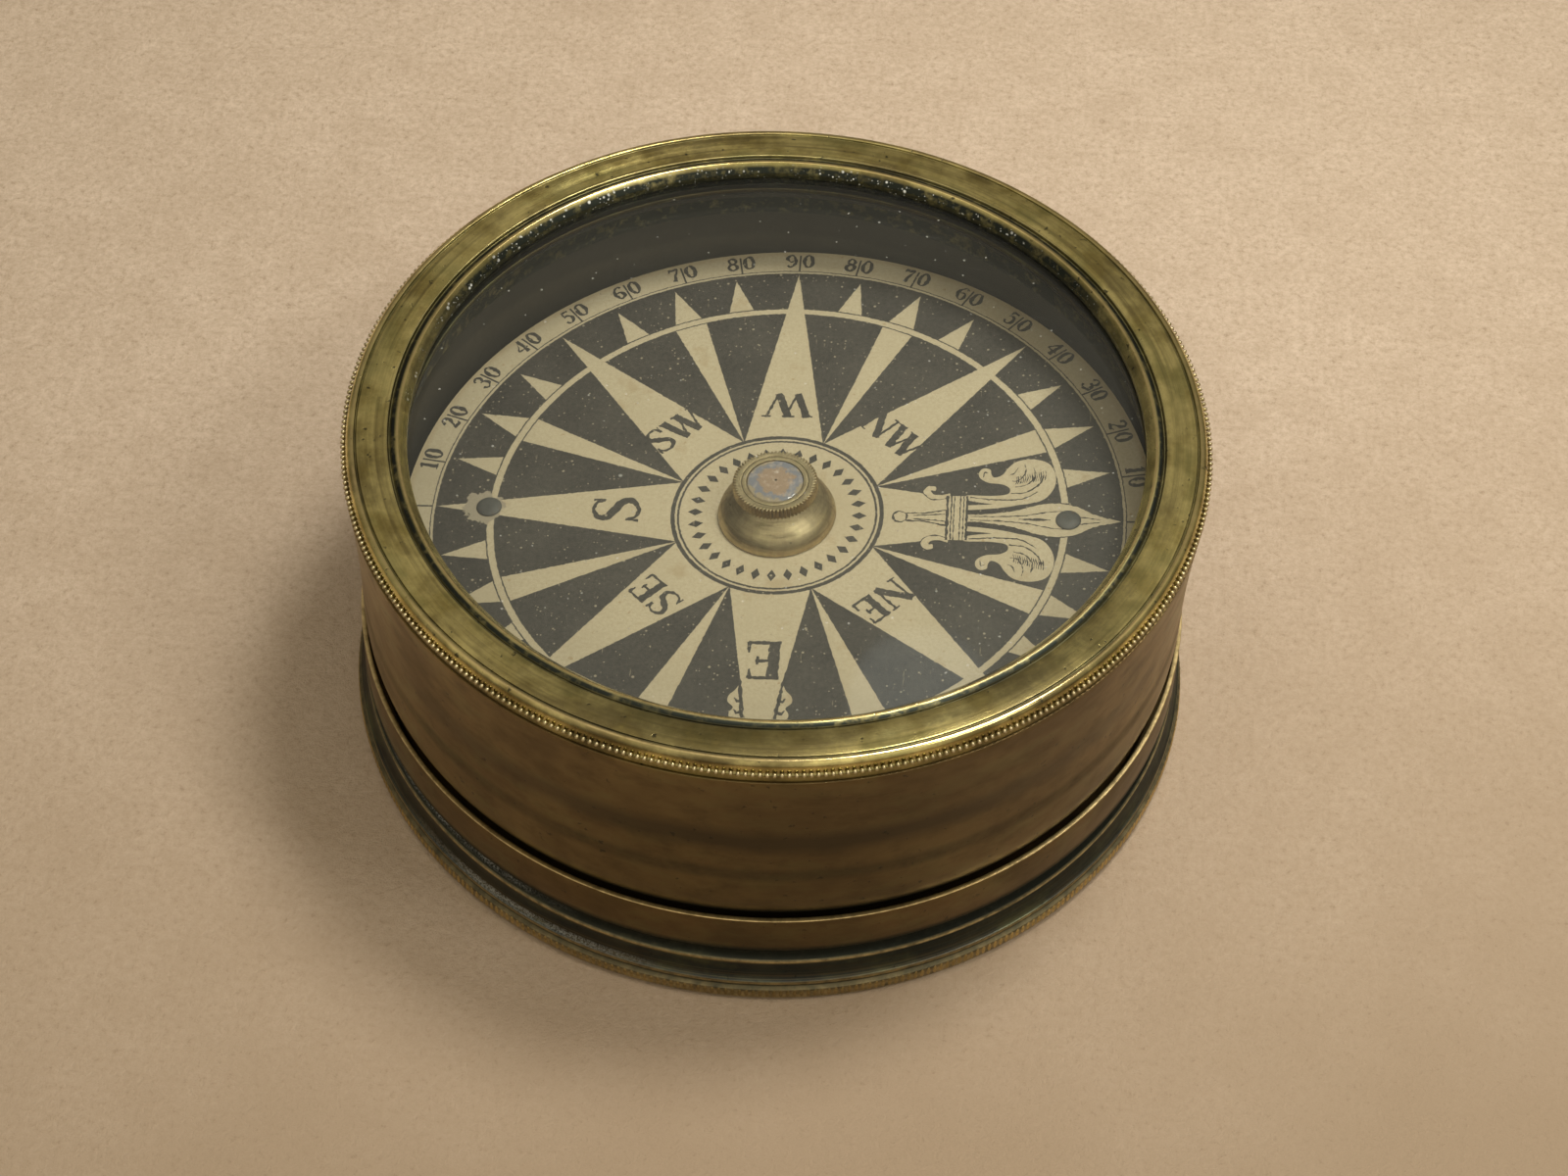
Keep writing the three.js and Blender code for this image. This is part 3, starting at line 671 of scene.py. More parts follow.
def makeDrum():
    low, top = levels("drum_wall")
    wall = radiusOf("drum_wall") - drum["flare"]
    bore = wall - drum["wall"]
    ledge = bore - drum["ledge"]
    ledgeTop = low + drum["ledgeHeight"]
    foot = wall - drum["tuck"]
    tuckBase = low + drum["footHeight"]
    tuckTop = tuckBase + drum["tuckHeight"]
    flareBase = tuckTop + drum["straight"]
    profile = [(ledge, low), (foot, low), *quarter((foot, tuckBase), (wall, tuckTop), 9, upright=False)]
    for i in range(drum["flareSteps"] + 1):
        share = i / drum["flareSteps"]
        profile.append((wall + drum["flare"] * share ** 2, flareBase + (top - flareBase) * share))
    profile += [(bore, top), (bore, ledgeTop), (ledge, ledgeTop)]
    material = brassFinish(
        "drumBrass", (0.3, 0.215, 0.092), (0.21, 0.145, 0.064), 0.42,
        darkBands=[
            ("z", flareBase + 0.2, 1.5, 0.35), ("z", tuckBase + 0.3, 1.6, 0.9), ("radius", bore, 0.8, 1.0),
        ],
        # painted shade: the front of the wall, a narrow band high on the front and a patch at the front right
        # are darkened
        paintedShadePlaces=[(-78, 80, 18, 36, 0.62), (-84, 84, 21.8, 2.6, 0.9), (-35, 20, 12, 6, 0.5)],
        cloudScale=0.07, spots=0.6, mottle=0.3, lathed=False,
    )
    dress(turned("drum_shell", profile, material), "drum", "aged_brass", "drum_wall")

    low, top = levels("wall_lining")
    outer = radiusOf("wall_lining")
    inner = outer - drum["lining"]
    strip = [(inner, low), (outer, low), (outer, top), (inner, top)]
    lining = turned("lining", strip, liningPaper(), corner=drum["liningCorner"])
    dress(lining, "drum", "lining_paper", "wall_lining")


# Dark paper, darker still in a band along its top, which is painted shade
def liningPaper():
    paint = Finish("liningPaper")
    fibres = paint.noise(1.3, 4, 0.6)
    clouds = paint.noise(0.12, 3, 0.5)
    colour = paint.mix(fibres, (0.045, 0.036, 0.026), (0.07, 0.058, 0.043))
    shade = paint.z.over(drum["liningShade"], drum["liningFade"])
    colour = paint.mix(shade * 0.6, colour, (0.022, 0.017, 0.012))
    return paint.principled(
        Base_Color=colour, Roughness=0.55 + clouds * 0.2, Normal=paint.bump(0.4, 0.1, fibres),
    )


makeDrum()
print("drum: shell and lining")


# Lid
lid = {
    "chamfer": 0.5, "band": 1.1, "quirk": 0.35, "bead": 0.5, "ogee": 2.1, "ogeeDrop": 0.55, "fillet": 0.3,
    "cove": 1.55, "coveDepth": 0.45, "rimWall": 0.45, "mouthDepth": 3.3, "mouthGap": 1.0, "seatWall": 0.5,
    "slide": 0.1, "paste": 0.05, "land": 3.0, "landWidth": 2.2, "plate": 1.6, "rimHeight": 4.4,
    "ridges": 400, "ridgeSink": 0.1, "ridgeSize": (0.3, 0.42, 1.15), "ridgeInset": 0.01,
    "facets": 400, "corner": 0.06, "rimCorner": 0.1,
}


def makeLid():
    outer = radiusOf("lid_plate")
    top = levels("lid_plate")[1]
    rimOuter = radiusOf("lid_rim")
    rimLow, rimTop = levels("lid_rim")
    rimInner = rimOuter - lid["rimWall"]
    seat = rimInner - lid["mouthGap"] + lid["slide"]
    sleeve = seat + lid["seatWall"]
    bandTop = lid["chamfer"] + lid["band"]
    beadBase = bandTop + lid["quirk"]
    beadTop = beadBase + lid["bead"]
    ogeeTop = beadTop + lid["ogee"]
    filletTop = ogeeTop + lid["fillet"]
    ogee = outer - lid["quirk"]
    fillet = ogee - lid["ogeeDrop"]
    coveDeep = (rimOuter - lid["coveDepth"], filletTop + lid["cove"] / 2)
    landOuter = sleeve + lid["paste"]
    landInner = seat - lid["landWidth"]
    band = outer - lid["ridgeSink"]
    profile = [
        (0, 0), (outer - lid["chamfer"], 0), (band, lid["chamfer"]), (band, bandTop),
        (ogee - lid["quirk"], beadBase), (ogee, beadBase),
        *quarter((ogee, beadTop), (fillet, ogeeTop), 7, upright=False),
        *quarter((fillet, filletTop), coveDeep, 4, upright=False),
        *quarter(coveDeep, (rimOuter, top), 4)[1:],
        (landOuter, top), (landOuter, lid["land"]), (landInner, lid["land"]),
        (landInner - lid["land"] + lid["plate"], lid["plate"]), (0, lid["plate"]),
    ]
    material = brassFinish(
        "lidBrass", (0.062, 0.072, 0.06), (0.028, 0.038, 0.042), 0.4,
        darkBands=[
            ("z", beadBase - 0.1, 0.7, 1.0), ("z", filletTop + 0.85, 2.0, 1.0),
            # the last dark band, over the front right of the cove, is painted shade that dims a highlight
            # there
            ("z", beadTop + 1.0, 1.2, 0.3), ("z", filletTop + 0.5, 4, 0.9, -38, 80),
        ],
        # the bright bands on the ogee's top, the bead and the milled band are partly worn metal and partly
        # painted highlight
        wearAndHighlightBands=[
            ("z", ogeeTop + 0.15, 0.28, 0.7), ("z", beadBase + 0.3, 0.3, 0.5), ("z", 0.9, 1.5, 0.45),
        ],
        rubbedBands=[("z", filletTop + 0.8, 1.0, 1.0, -144, 40), ("z", beadTop + 0.3, 0.5, 0.5, -122, 30)],
        cloudScale=0.18, spots=0.8, mottle=0.3,
    )
    # painted shade: the foot is darkened at the front
    footBrass = brassFinish(
        "footBrass", (0.72, 0.54, 0.23), (0.52, 0.39, 0.16), 0.5, paintedShadePlaces=[(-88, 50, 1, 4, 0.55)],
        cloudScale=0.3,
    )
    ridgeRadius = outer - lid["ridgeSize"][0] / 2 - lid["ridgeInset"]
    ridgeLevel = lid["chamfer"] + lid["band"] / 2
    ridges = toothRow(lid["ridges"], lid["ridgeSize"], ridgeRadius, ridgeLevel, footBrass)
    base = turned("lid_base", profile, material, ridges, facets=lid["facets"], corner=lid["corner"])
    dress(base, "lid", "patinated_brass", "lid_plate")

    seatTop = rimTop - lid["mouthDepth"]
    joint = rimTop - lid["rimHeight"] + lid["paste"]
    tube = [
        (seat, rimLow), (sleeve, rimLow), (sleeve, joint), (rimOuter, joint), (rimOuter, rimTop),
        (rimInner, rimTop), (rimInner, seatTop), (seat, seatTop),
    ]
    rimBrass = brassFinish(
        "rimBrass", (0.2, 0.135, 0.06), (0.14, 0.1, 0.046), 0.43,
        # the bright band along the rim's top edge is partly worn metal and partly painted highlight
        darkBands=[("z", joint, 0.9, 0.85)], wearAndHighlightBands=[("z", rimTop, 0.16, 0.9)],
        # painted shade: the rim is darkened at the front
        paintedShadePlaces=[(-75, 80, 8, 12, 0.35)], cloudScale=0.09, spots=0.6, mottle=0.3, lathed=False,
    )
    dress(turned("lid_tube", tube, rimBrass, corner=lid["rimCorner"]), "lid", "aged_brass", "lid_rim")


makeLid()
print("lid: base and tube")


# Spring ring and putty under the glass
seating = {
    "slitDegrees": 3, "width": 0.9, "arcSteps": 240, "corner": 0.18, "cornerSteps": 4, "puttyWidth": 0.8,
    "puttySkin": 0.1, "lumps": 0.22, "lumpScale": 900,
}


def makeSpringRing():
    low, top = levels("glass_spring_ring")
    outer = radiusOf("glass")
    inner = outer - seating["width"]
    corners = [(inner, low), (outer, low), (outer, top), (inner, top)]
    section = rounded(corners, seating["corner"], seating["cornerSteps"])
    half = math.radians(seating["slitDegrees"] / 2)
    verts, faces = [], []
    count = len(section)
    for i in range(seating["arcSteps"] + 1):
        turn = half + (2 * math.pi - 2 * half) * i / seating["arcSteps"]
        verts += [(x * mm * math.cos(turn), x * mm * math.sin(turn), z * mm) for x, z in section]
        if i:
            a, b = (i - 1) * count, i * count
            faces += [(a + k, b + k, b + (k + 1) % count, a + (k + 1) % count) for k in range(count)]
    faces += [tuple(range(count)), tuple(reversed(range(len(verts) - count, len(verts))))]
    # the ring's brass is nearly black: partly dark patina, partly painted shade where it sits under the
    # bezel's edge
    ringBrass = brassFinish(
        "ringBrass", (0.06, 0.048, 0.022), (0.03, 0.025, 0.013), 0.45, cloudScale=0.3, spots=0.6,
    )
    ring = meshPiece("spring_ring", verts, faces, ringBrass)
    dress(ring, "bezel", "patinated_brass", "glass_spring_ring")


# The putty's sloping face is pushed in and out in lumps, and its skin against the bezel stays where it is.
def makePutty():
    low, top = levels("glass_bedding")
    outer = radiusOf("glass")
    profile = [(outer, low), (outer, top), (outer - seating["puttyWidth"], top)]
    putty = turned("putty", profile, puttyFinish(), corner=0)
    for vertex in putty.data.vertices:
        point = vertex.co
        flat = Vector((point.x, point.y))
        if flat.length < (outer - seating["puttySkin"]) * mm:
            push = (noise.noise(point * seating["lumpScale"]) - 0.5) * seating["lumps"] * mm
            flat = flat.normalized() * (flat.length + push)
            vertex.co = (flat.x, flat.y, point.z)
    dress(putty, "bezel", "putty", "glass_bedding")


def puttyFinish():
    paint = Finish("oldPutty")
    grain = paint.noise(2.4, 4, 0.7)
    specks = paint.noise(3.2, 2, 0.5, 4).over(0.69, 0.04)
    colour = paint.mix(grain, (0.012, 0.011, 0.009), (0.05, 0.042, 0.03))
    colour = paint.mix(specks, colour, (0.5, 0.5, 0.46))
    relief = paint.bump(0.9, 0.2, grain + specks * 0.5)
    return paint.principled(Base_Color=colour, Roughness=0.35 + grain * 0.4, Normal=relief)


makeSpringRing()
makePutty()
print("seating: spring ring and putty")


# Glass: it mirrors a little, and lets the rest through, behind a faint veil of dust and fine scratches.
glass = {
    "straight": 0.04, "rise": 5, "roughness": 0.03, "veil": 0.009, "dust": 0.28, "wiped": 0.02,
    "clear": (0.93, 0.945, 0.92, 1), "mirror": (0.9, 0.92, 0.9, 1), "veilColour": (0.72, 0.74, 0.68, 1),
}


def glassFinish():
    paint = Finish("windowGlass")
    clear = paint.add("ShaderNodeBsdfTransparent", {"Color": glass["clear"]})
    mirror = paint.add("ShaderNodeBsdfPrincipled", {
        "Base Color": glass["mirror"], "Metallic": 1.0, "Roughness": glass["roughness"],
    })
    veil = paint.add("ShaderNodeBsdfDiffuse", {"Color": glass["veilColour"]})
    smears = paint.noise(0.07, 4, 0.6)
    specks = paint.specks(1.1, 0.13, 0.3).most(paint.specks(0.22, 0.05, 0.3))
    wiped = paint.noise(0.8, 3, 0.6, 2, paint.stretched(0.35, 7, 1)).over(0.68, 0.1)
    amount = glass["veil"] * (0.55 + smears) + specks * glass["dust"] + wiped * glass["wiped"]
    facing = paint.add("ShaderNodeLayerWeight", {"Blend": 0.5}, "Facing")
    mirrored = facing.power(glass["rise"]) * (1 - glass["straight"]) + glass["straight"]
    shown = paint.add("ShaderNodeMixShader", {0: mirrored, 1: clear, 2: mirror})
    return paint.surface(paint.add("ShaderNodeMixShader", {0: amount.clamped(), 1: shown, 2: veil}))


# Card. Its place is the tilted plane that it hangs in, and its own measures are in mm from the pivot.
card = {
    "radius": 33.8, "dipNorth": 3.7, "dipEast": 0.7, "pivotOverCard": 3.15, "hole": 2.3, "thickness": 0.15,
    "corner": 0.03, "lift": 0.012, "ink": 0.02, "line": 0.016, "footShare": 0.2, "lineFootShare": 0.5,
    "sharpDegrees": 20,
}
spin = next(joint for joint in frame["joints"] if joint["name"] == "card_spin")
cardPlane = (
    Matrix.Translation((0, 0, spin["pos_m"][2]))
    @ Matrix.Rotation(-math.radians(card["dipEast"]), 4, "X")
    @ Matrix.Rotation(-math.radians(card["dipNorth"]), 4, "Y")
    @ Matrix.Translation((0, 0, -card["pivotOverCard"] * mm))
)

# The printed rose, in mm: radii, half widths, and the widths of lines
rose = {
    "hub": 9.37, "hubLine": 0.38, "innerLine": 8.88, "innerLineWidth": 0.2, "tip": 30.7, "fieldEdge": 30.88,
    "scaleLine": 31.16, "scaleLineWidth": 0.1, "ringIn": 25.36, "ringOut": 26.1, "ringLine": 0.13,
    "halfWindWidth": 1.5, "halfWindTip": 30.4, "byPointWidth": 1.15, "byPointTip": 30.2, "northCut": 15.4,
    "northWidth": 4.4, "soft": 0.05, "wobble": 0.26,
}
ink = {"black": (0.034, 0.029, 0.027), "worn": (0.085, 0.074, 0.064), "roughness": 0.6}
paper = {
    "cream": (0.63, 0.53, 0.385), "shade": (0.5, 0.41, 0.28), "stain": (0.42, 0.3, 0.16),
    "torn": (0.33, 0.28, 0.22),
}
rivets = {
    "reach": 26.0, "radius": 1.15, "height": 0.3, "shank": 0.45, "bottom": 1.9, "lift": 0.05, "facets": 40,
    "corner": 0.04,
}


# The colour of the paper itself, with its fibres, stains and flecks
def paperColour(paint):
    fibres = paint.noise(3.2, 4, 0.65)
    clouds = paint.noise(0.12, 4, 0.55, 2)
    flecks = paint.noise(1.7, 2, 0.5, 7).over(0.7, 0.04)
    colour = paint.mix(clouds.over(0.5, 0.5) * 0.75, paper["cream"], paper["shade"])
    colour = paint.mix(fibres.over(0.52, 0.24) * 0.75, colour, paper["shade"])
    colour = paint.mix(paint.noise(0.3, 3, 0.6, 11).over(0.66, 0.1) * 0.4, colour, paper["stain"])
    return paint.mix(flecks * 0.65, colour, paper["stain"]), fibres


# The colour of the ink, worn in clouds, rubbed along the card and pricked with bare dots
def inkColour(paint):
    grain = paint.noise(2.6, 4, 0.7, 3)
    clouds = paint.noise(0.2, 3, 0.5, 5)
    dots = paint.specks(1.5, 0.2, 0.45).most(paint.specks(3.1, 0.26, 0.3))
    rubs = paint.noise(1, 3, 0.6, 6, paint.stretched(2.6, 0.35, 1)).over(0.69, 0.05)
    colour = paint.mix((grain * 0.7 + clouds * 0.5).over(0.62, 0.35), ink["black"], ink["worn"])
    colour = paint.mix(rubs * 0.35, colour, paper["shade"])
    return paint.mix(dots * 0.5, colour, paper["cream"])


# A 0..1 mask of a triangle that points outwards along its own axis
def wedge(along, aside, base, halfWidth, tip, soft):
    slope = halfWidth / (tip - base)
    return ((tip - along) * slope - aside).over(0, soft) * along.over(base, soft)


def printedPaper():
    across = 2 * card["radius"]
    paint = Finish("printedPaper", "UV", (across, across, 1), (-across / 2, -across / 2, 0))
    x = paint.x + (paint.noise(2.6, 4, 0.75, 1) - 0.5) * rose["wobble"]
    y = paint.y + (paint.noise(2.6, 4, 0.75, 4) - 0.5) * rose["wobble"]
    radius, angle = polar(x, y)
    soft = rose["soft"]

    # the place as seen from the nearest of a ring of axes: how far out along it, and how far to its side
    def folded(step, offset):
        half = math.radians(step) / 2
        turn = (angle - math.radians(offset)).wrapped(-half, half)
        return radius * turn.cosine(), (radius * turn.sine()).absolute()

    # eight points from the hub, of which the north one gives way to the lily
    corner = math.radians(22.5)
    base, halfWidth = rose["hub"] * math.cos(corner), rose["hub"] * math.sin(corner)
    along, aside = folded(45, 0)
    points = wedge(along, aside, base, halfWidth, rose["tip"], soft)
    north = x.over(rose["northCut"], soft) * (1 - y.absolute().over(rose["northWidth"], soft))
    points = points * (1 - north)

    # eight long half winds between them, widest at the ring, and sixteen small points outside the ring
    along, aside = folded(45, 22.5)
    inward = (along - rose["hub"]) * (rose["halfWindWidth"] / (rose["ringIn"] - rose["hub"])) - aside
    tipSlope = rose["halfWindWidth"] / (rose["halfWindTip"] - rose["ringIn"])
    outward = (rose["halfWindTip"] - along) * tipSlope - aside
    halfWinds = inward.least(outward).over(0, soft)
    along, aside = folded(22.5, 11.25)
    byPoints = wedge(along, aside, rose["ringOut"], rose["byPointWidth"], rose["byPointTip"], soft)

    middle = (rose["ringIn"] + rose["ringOut"]) / 2
    ring = radius.near(middle, rose["ringOut"] - rose["ringIn"], soft)
    ringLines = radius.near(rose["ringIn"], rose["ringLine"], soft).most(
        radius.near(rose["ringOut"], rose["ringLine"], soft)
    )
    bare = (halfWinds.most(byPoints).most(ring) * (1 - ringLines)).most(points)
    inked = radius.over(rose["hub"], soft) * (1 - radius.over(rose["fieldEdge"], soft)) * (1 - bare)
    for line, width in (("hub", "hubLine"), ("innerLine", "innerLineWidth"), ("scaleLine", "scaleLineWidth")):
        inked = inked.most(radius.near(rose[line], rose[width], soft))

    # the print is torn away round the south rivet
    south = x + rivets["reach"] + 0.6
    fromRivet = (south * (x + rivets["reach"] + 0.35) + y * y).power(0.5)
    tear = 1 - (fromRivet + paint.noise(1.1, 3, 0.6, 9) * 2.2).over(2.9, 0.15)
    inked = inked * (1 - tear)

    colour, fibres = paperColour(paint)
    colour = paint.mix(tear * 0.8, colour, paper["torn"])
    worn = 1 - paint.noise(5, 3, 0.7, 12).over(0.73, 0.05) * 0.7
    colour = paint.mix(inked * worn, colour, inkColour(paint))
    colour = paint.mix(radius.over(card["radius"] - 0.5, 0.5) * 0.35, colour, paper["stain"])
    relief = paint.bump(0.25, 0.05, fibres - tear * 0.6)
    return paint.principled(Base_Color=colour, Roughness=0.8 - inked * 0.22, Normal=relief)


def inkFinish():
    paint = Finish("printingInk")
    return paint.principled(Base_Color=inkColour(paint), Roughness=ink["roughness"])


def barePaper():
    paint = Finish("barePaper")
    colour, fibres = paperColour(paint)
    return paint.principled(Base_Color=colour, Roughness=0.7 + fibres * 0.2)


printInk = inkFinish()
cream = barePaper()


def makeCardSheet():
    outer, hole, bottom = card["radius"], card["hole"], -card["thickness"]
    profile = [(hole, bottom), (outer, bottom), (outer, 0), (hole, 0)]
    sheet = turned("printed_card", profile, printedPaper(), corner=card["corner"])
    uv = sheet.data.uv_layers.new(name="plane")
    for loop in sheet.data.loops:
        point = sheet.data.vertices[loop.vertex_index].co
        uv.data[loop.index].uv = (point.x / mm / outer / 2 + 0.5, point.y / mm / outer / 2 + 0.5)
    sheet.data.transform(cardPlane)
    dress(sheet, "card", "printed_paper", "card_paper")


makeCardSheet()


# Ink and cut paper lie on the card as thin solids. The edge of a pen stroke wavers by up to "rough", in mm.
pen = {"step": 0.22, "rough": 0.12, "grain": 3, "least": 0.015}


# A thin layer on the card, gathered in one mesh
class Layer:
    def __init__(self, low, high):
        self.low, self.high = low, high
        self.verts, self.faces = [], []

    # a flat shape of a closed outline, in card mm
    def shape(self, outline, rise=0.0):
        area = sum(a[0] * b[1] - b[0] * a[1] for a, b in zip(outline, outline[1:] + outline[:1]))
        if area < 0:
            outline = outline[::-1]
        first, count = len(self.verts), len(outline)
        for level in (self.low, self.high + rise):
            self.verts += [(x * mm, y * mm, level * mm) for x, y in outline]
        for a, b, c in geometry.tessellate_polygon([[Vector((x, y, 0)) for x, y in outline]]):
            self.faces.append((first + count + a, first + count + b, first + count + c))
            self.faces.append((first + c, first + b, first + a))
        for k in range(count):
            n = (k + 1) % count
            self.faces.append((first + k, first + n, first + count + n, first + count + k))

    # a pen stroke through points of (x, y, width), with the rough edge of old print
    def stroke(self, points, rise=0.0):
        left, right = [], []
        points = finely(points, pen["step"])
        for i, (x, y, width) in enumerate(points):
            before, after = points[max(i - 1, 0)], points[min(i + 1, len(points) - 1)]
            along = Vector((after[0] - before[0], after[1] - before[1])).normalized()
            for side, edge, shift in ((1, left, 0), (-1, right, 9)):
                spot = Vector((x * pen["grain"], y * pen["grain"], shift))
                spread = max(width / 2 + pen["rough"] * noise.noise(spot), pen["least"]) * side
                edge.append((x - along.y * spread, y + along.x * spread))
        self.shape(left + right[::-1], rise)

    # makes a piece of the layer, laid on the card
    def lay(self, name, material):
        piece = meshPiece(name, self.verts, self.faces, material, card["sharpDegrees"])
        piece.data.transform(cardPlane)
        dress(piece, "card", "printed_paper")


# A run of points with more set between them, so that none lie further apart than a given reach
def finely(points, reach):
    made = [points[0]]
    for before, after in zip(points, points[1:]):
        steps = max(1, math.ceil(math.dist(before[:2], after[:2]) / reach))
        made += [tuple(a + (b - a) * k / steps for a, b in zip(before, after)) for k in range(1, steps + 1)]
    return made


# A smooth run of points through a few chosen ones
def curved(points, steps=6, loop=False):
    made = []
    count = len(points)
    for i in range(count if loop else count - 1):
        near = [(i + k) % count if loop else min(max(i + k, 0), count - 1) for k in (-1, 0, 1, 2)]
        for s in range(steps):
            t = s / steps
            made.append(tuple(
                b + (c - a) * t / 2 + (2 * a - 5 * b + 4 * c - d) * t ** 2 / 2
                + (3 * b - a - 3 * c + d) * t ** 3 / 2
                for a, b, c, d in zip(*(points[k] for k in near))
            ))
    return made if loop else made + [points[-1]]


# Letters and figures as pen strokes, for a height of 1: each is its width and its strokes of (x, y, width).
thin, stem = 0.075, 0.23


def bar(x, y, endX, endY, width):
    return [(x, y, width), (endX, endY, width)]


def serif(x, y, reach=0.14):
    return bar(x - reach, y, x + reach, y, 0.05)


# An oval stroke, thick at its sides
def oval(x, y, wide, tall, thick, steps=24):
    points = []
    for i in range(steps + 1):
        turn = 2 * math.pi * i / steps
        swell = abs(math.cos(turn)) ** 1.6
        points.append((x + wide * math.cos(turn), y + tall * math.sin(turn), thin + (thick - thin) * swell))
    return points


glyphs = {
    "N": (0.95, [
        bar(0.16, 0, 0.16, 1, thin), [(0.14, 1, stem), (0.8, 0.02, stem)], bar(0.8, 0, 0.8, 1, thin),
        serif(0.16, 0.02), serif(0.12, 0.98, 0.12), serif(0.8, 0.98),
    ]),
    "E": (0.85, [
        bar(0.22, 0, 0.22, 1, stem), bar(0.08, 0.97, 0.72, 0.97, thin), bar(0.08, 0.03, 0.76, 0.03, thin),
        bar(0.25, 0.52, 0.56, 0.52, thin), [(0.7, 0.98, 0.1), (0.7, 0.74, 0.04)],
        [(0.74, 0.02, 0.1), (0.74, 0.3, 0.04)], [(0.55, 0.62, 0.05), (0.55, 0.52, 0.08), (0.55, 0.4, 0.05)],
    ]),
    "S": (0.8, [
        curved([
            (0.68, 0.76, thin), (0.6, 0.93, 0.07), (0.4, 0.98, 0.08), (0.2, 0.87, 0.13), (0.2, 0.68, 0.16),
            (0.42, 0.52, 0.2), (0.64, 0.37, 0.17), (0.67, 0.16, 0.13), (0.45, 0.02, 0.08), (0.22, 0.07, 0.07),
            (0.13, 0.26, thin),
        ]),
        [(0.69, 1.0, 0.06), (0.69, 0.74, 0.03)], [(0.12, 0.0, 0.06), (0.12, 0.28, 0.03)],
    ]),
    "W": (1.3, [
        bar(0.12, 1, 0.4, 0.02, stem), bar(0.4, 0.02, 0.66, 0.92, thin), bar(0.6, 1, 0.88, 0.02, stem),
        bar(0.88, 0.02, 1.16, 1, thin), serif(0.12, 0.98), serif(0.6, 0.98, 0.16), serif(1.16, 0.98, 0.12),
    ]),
    "0": (0.72, [oval(0.36, 0.5, 0.24, 0.46, 0.17)]),
    "1": (0.6, [
        bar(0.32, 0, 0.32, 0.98, 0.16), serif(0.32, 0.02, 0.2), [(0.12, 0.82, 0.04), (0.3, 0.95, 0.09)],
    ]),
    "2": (0.72, [
        curved([
            (0.14, 0.7, 0.13), (0.17, 0.86, 0.09), (0.36, 0.97, 0.08), (0.56, 0.8, 0.15), (0.5, 0.55, 0.12),
            (0.28, 0.28, 0.07), (0.12, 0.06, 0.06),
        ]),
        [(0.1, 0.08, 0.06), (0.3, 0.1, 0.15), (0.5, 0.05, 0.14), (0.62, 0.2, 0.04)],
    ]),
    "3": (0.7, [
        curved([
            (0.12, 0.78, 0.12), (0.2, 0.93, 0.08), (0.4, 0.97, 0.08), (0.54, 0.78, 0.14), (0.44, 0.58, 0.08),
            (0.28, 0.54, 0.05),
        ]),
        curved([
            (0.28, 0.54, 0.05), (0.5, 0.48, 0.1), (0.6, 0.26, 0.16), (0.42, 0.04, 0.08), (0.2, 0.05, 0.08),
            (0.1, 0.2, 0.13),
        ]),
    ]),
    "4": (0.75, [
        bar(0.5, 1, 0.06, 0.3, 0.05), bar(0.05, 0.29, 0.7, 0.29, 0.06), [(0.5, 0.0, 0.15), (0.5, 1.0, 0.13)],
        serif(0.5, 0.02, 0.14),
    ]),
    "5": (0.7, [
        [(0.2, 0.92, 0.12), (0.56, 0.92, 0.1)], bar(0.19, 0.95, 0.16, 0.5, 0.05),
        curved([
            (0.16, 0.5, 0.05), (0.36, 0.6, 0.08), (0.57, 0.36, 0.16), (0.42, 0.05, 0.09), (0.2, 0.04, 0.07),
            (0.1, 0.18, 0.13),
        ]),
    ]),
    "6": (0.72, [
        curved([
            (0.58, 0.84, 0.12), (0.44, 0.97, 0.07), (0.22, 0.8, 0.11), (0.13, 0.42, 0.16), (0.3, 0.05, 0.08),
            (0.5, 0.08, 0.09), (0.6, 0.3, 0.15), (0.46, 0.54, 0.08), (0.24, 0.5, 0.05),
        ]),
    ]),
    "7": (0.7, [
        [(0.08, 0.74, 0.04), (0.12, 0.92, 0.13), (0.36, 0.9, 0.14), (0.6, 0.97, 0.06)],
        [(0.6, 0.96, 0.05), (0.4, 0.5, 0.1), (0.28, 0.0, 0.17)],
    ]),
    "8": (0.72, [oval(0.36, 0.74, 0.18, 0.22, 0.13, 18), oval(0.36, 0.27, 0.23, 0.24, 0.15, 18)]),
}
sixWidth, sixStrokes = glyphs["6"]
glyphs["9"] = (sixWidth, [[(sixWidth - x, 1 - y, width) for x, y, width in stroke] for stroke in sixStrokes])

# Each word has its bearing, the radius of its foot, its height, the way of its tops (1 is outwards) and its
# stretch in width.
lettering = {
    "words": [
        ("E", 90, 15.0, 4.2, 1, 1.0), ("S", 180, 12.4, 4.2, 1, 1.0), ("W", 270, 15.0, 3.0, -1, 1.2),
        ("NE", 45, 12.7, 2.9, 1, 1.0), ("SE", 135, 12.7, 2.9, 1, 1.0), ("SW", 225, 12.7, 2.9, 1, 1.0),
        ("NW", 315, 12.7, 2.9, 1, 1.0),
    ],
    "figureHeight": 1.7, "figureBase": 31.68, "figureGap": 0.18, "figureWeight": 1.3, "figureStep": 10,
    "overlap": 0.0006,
}


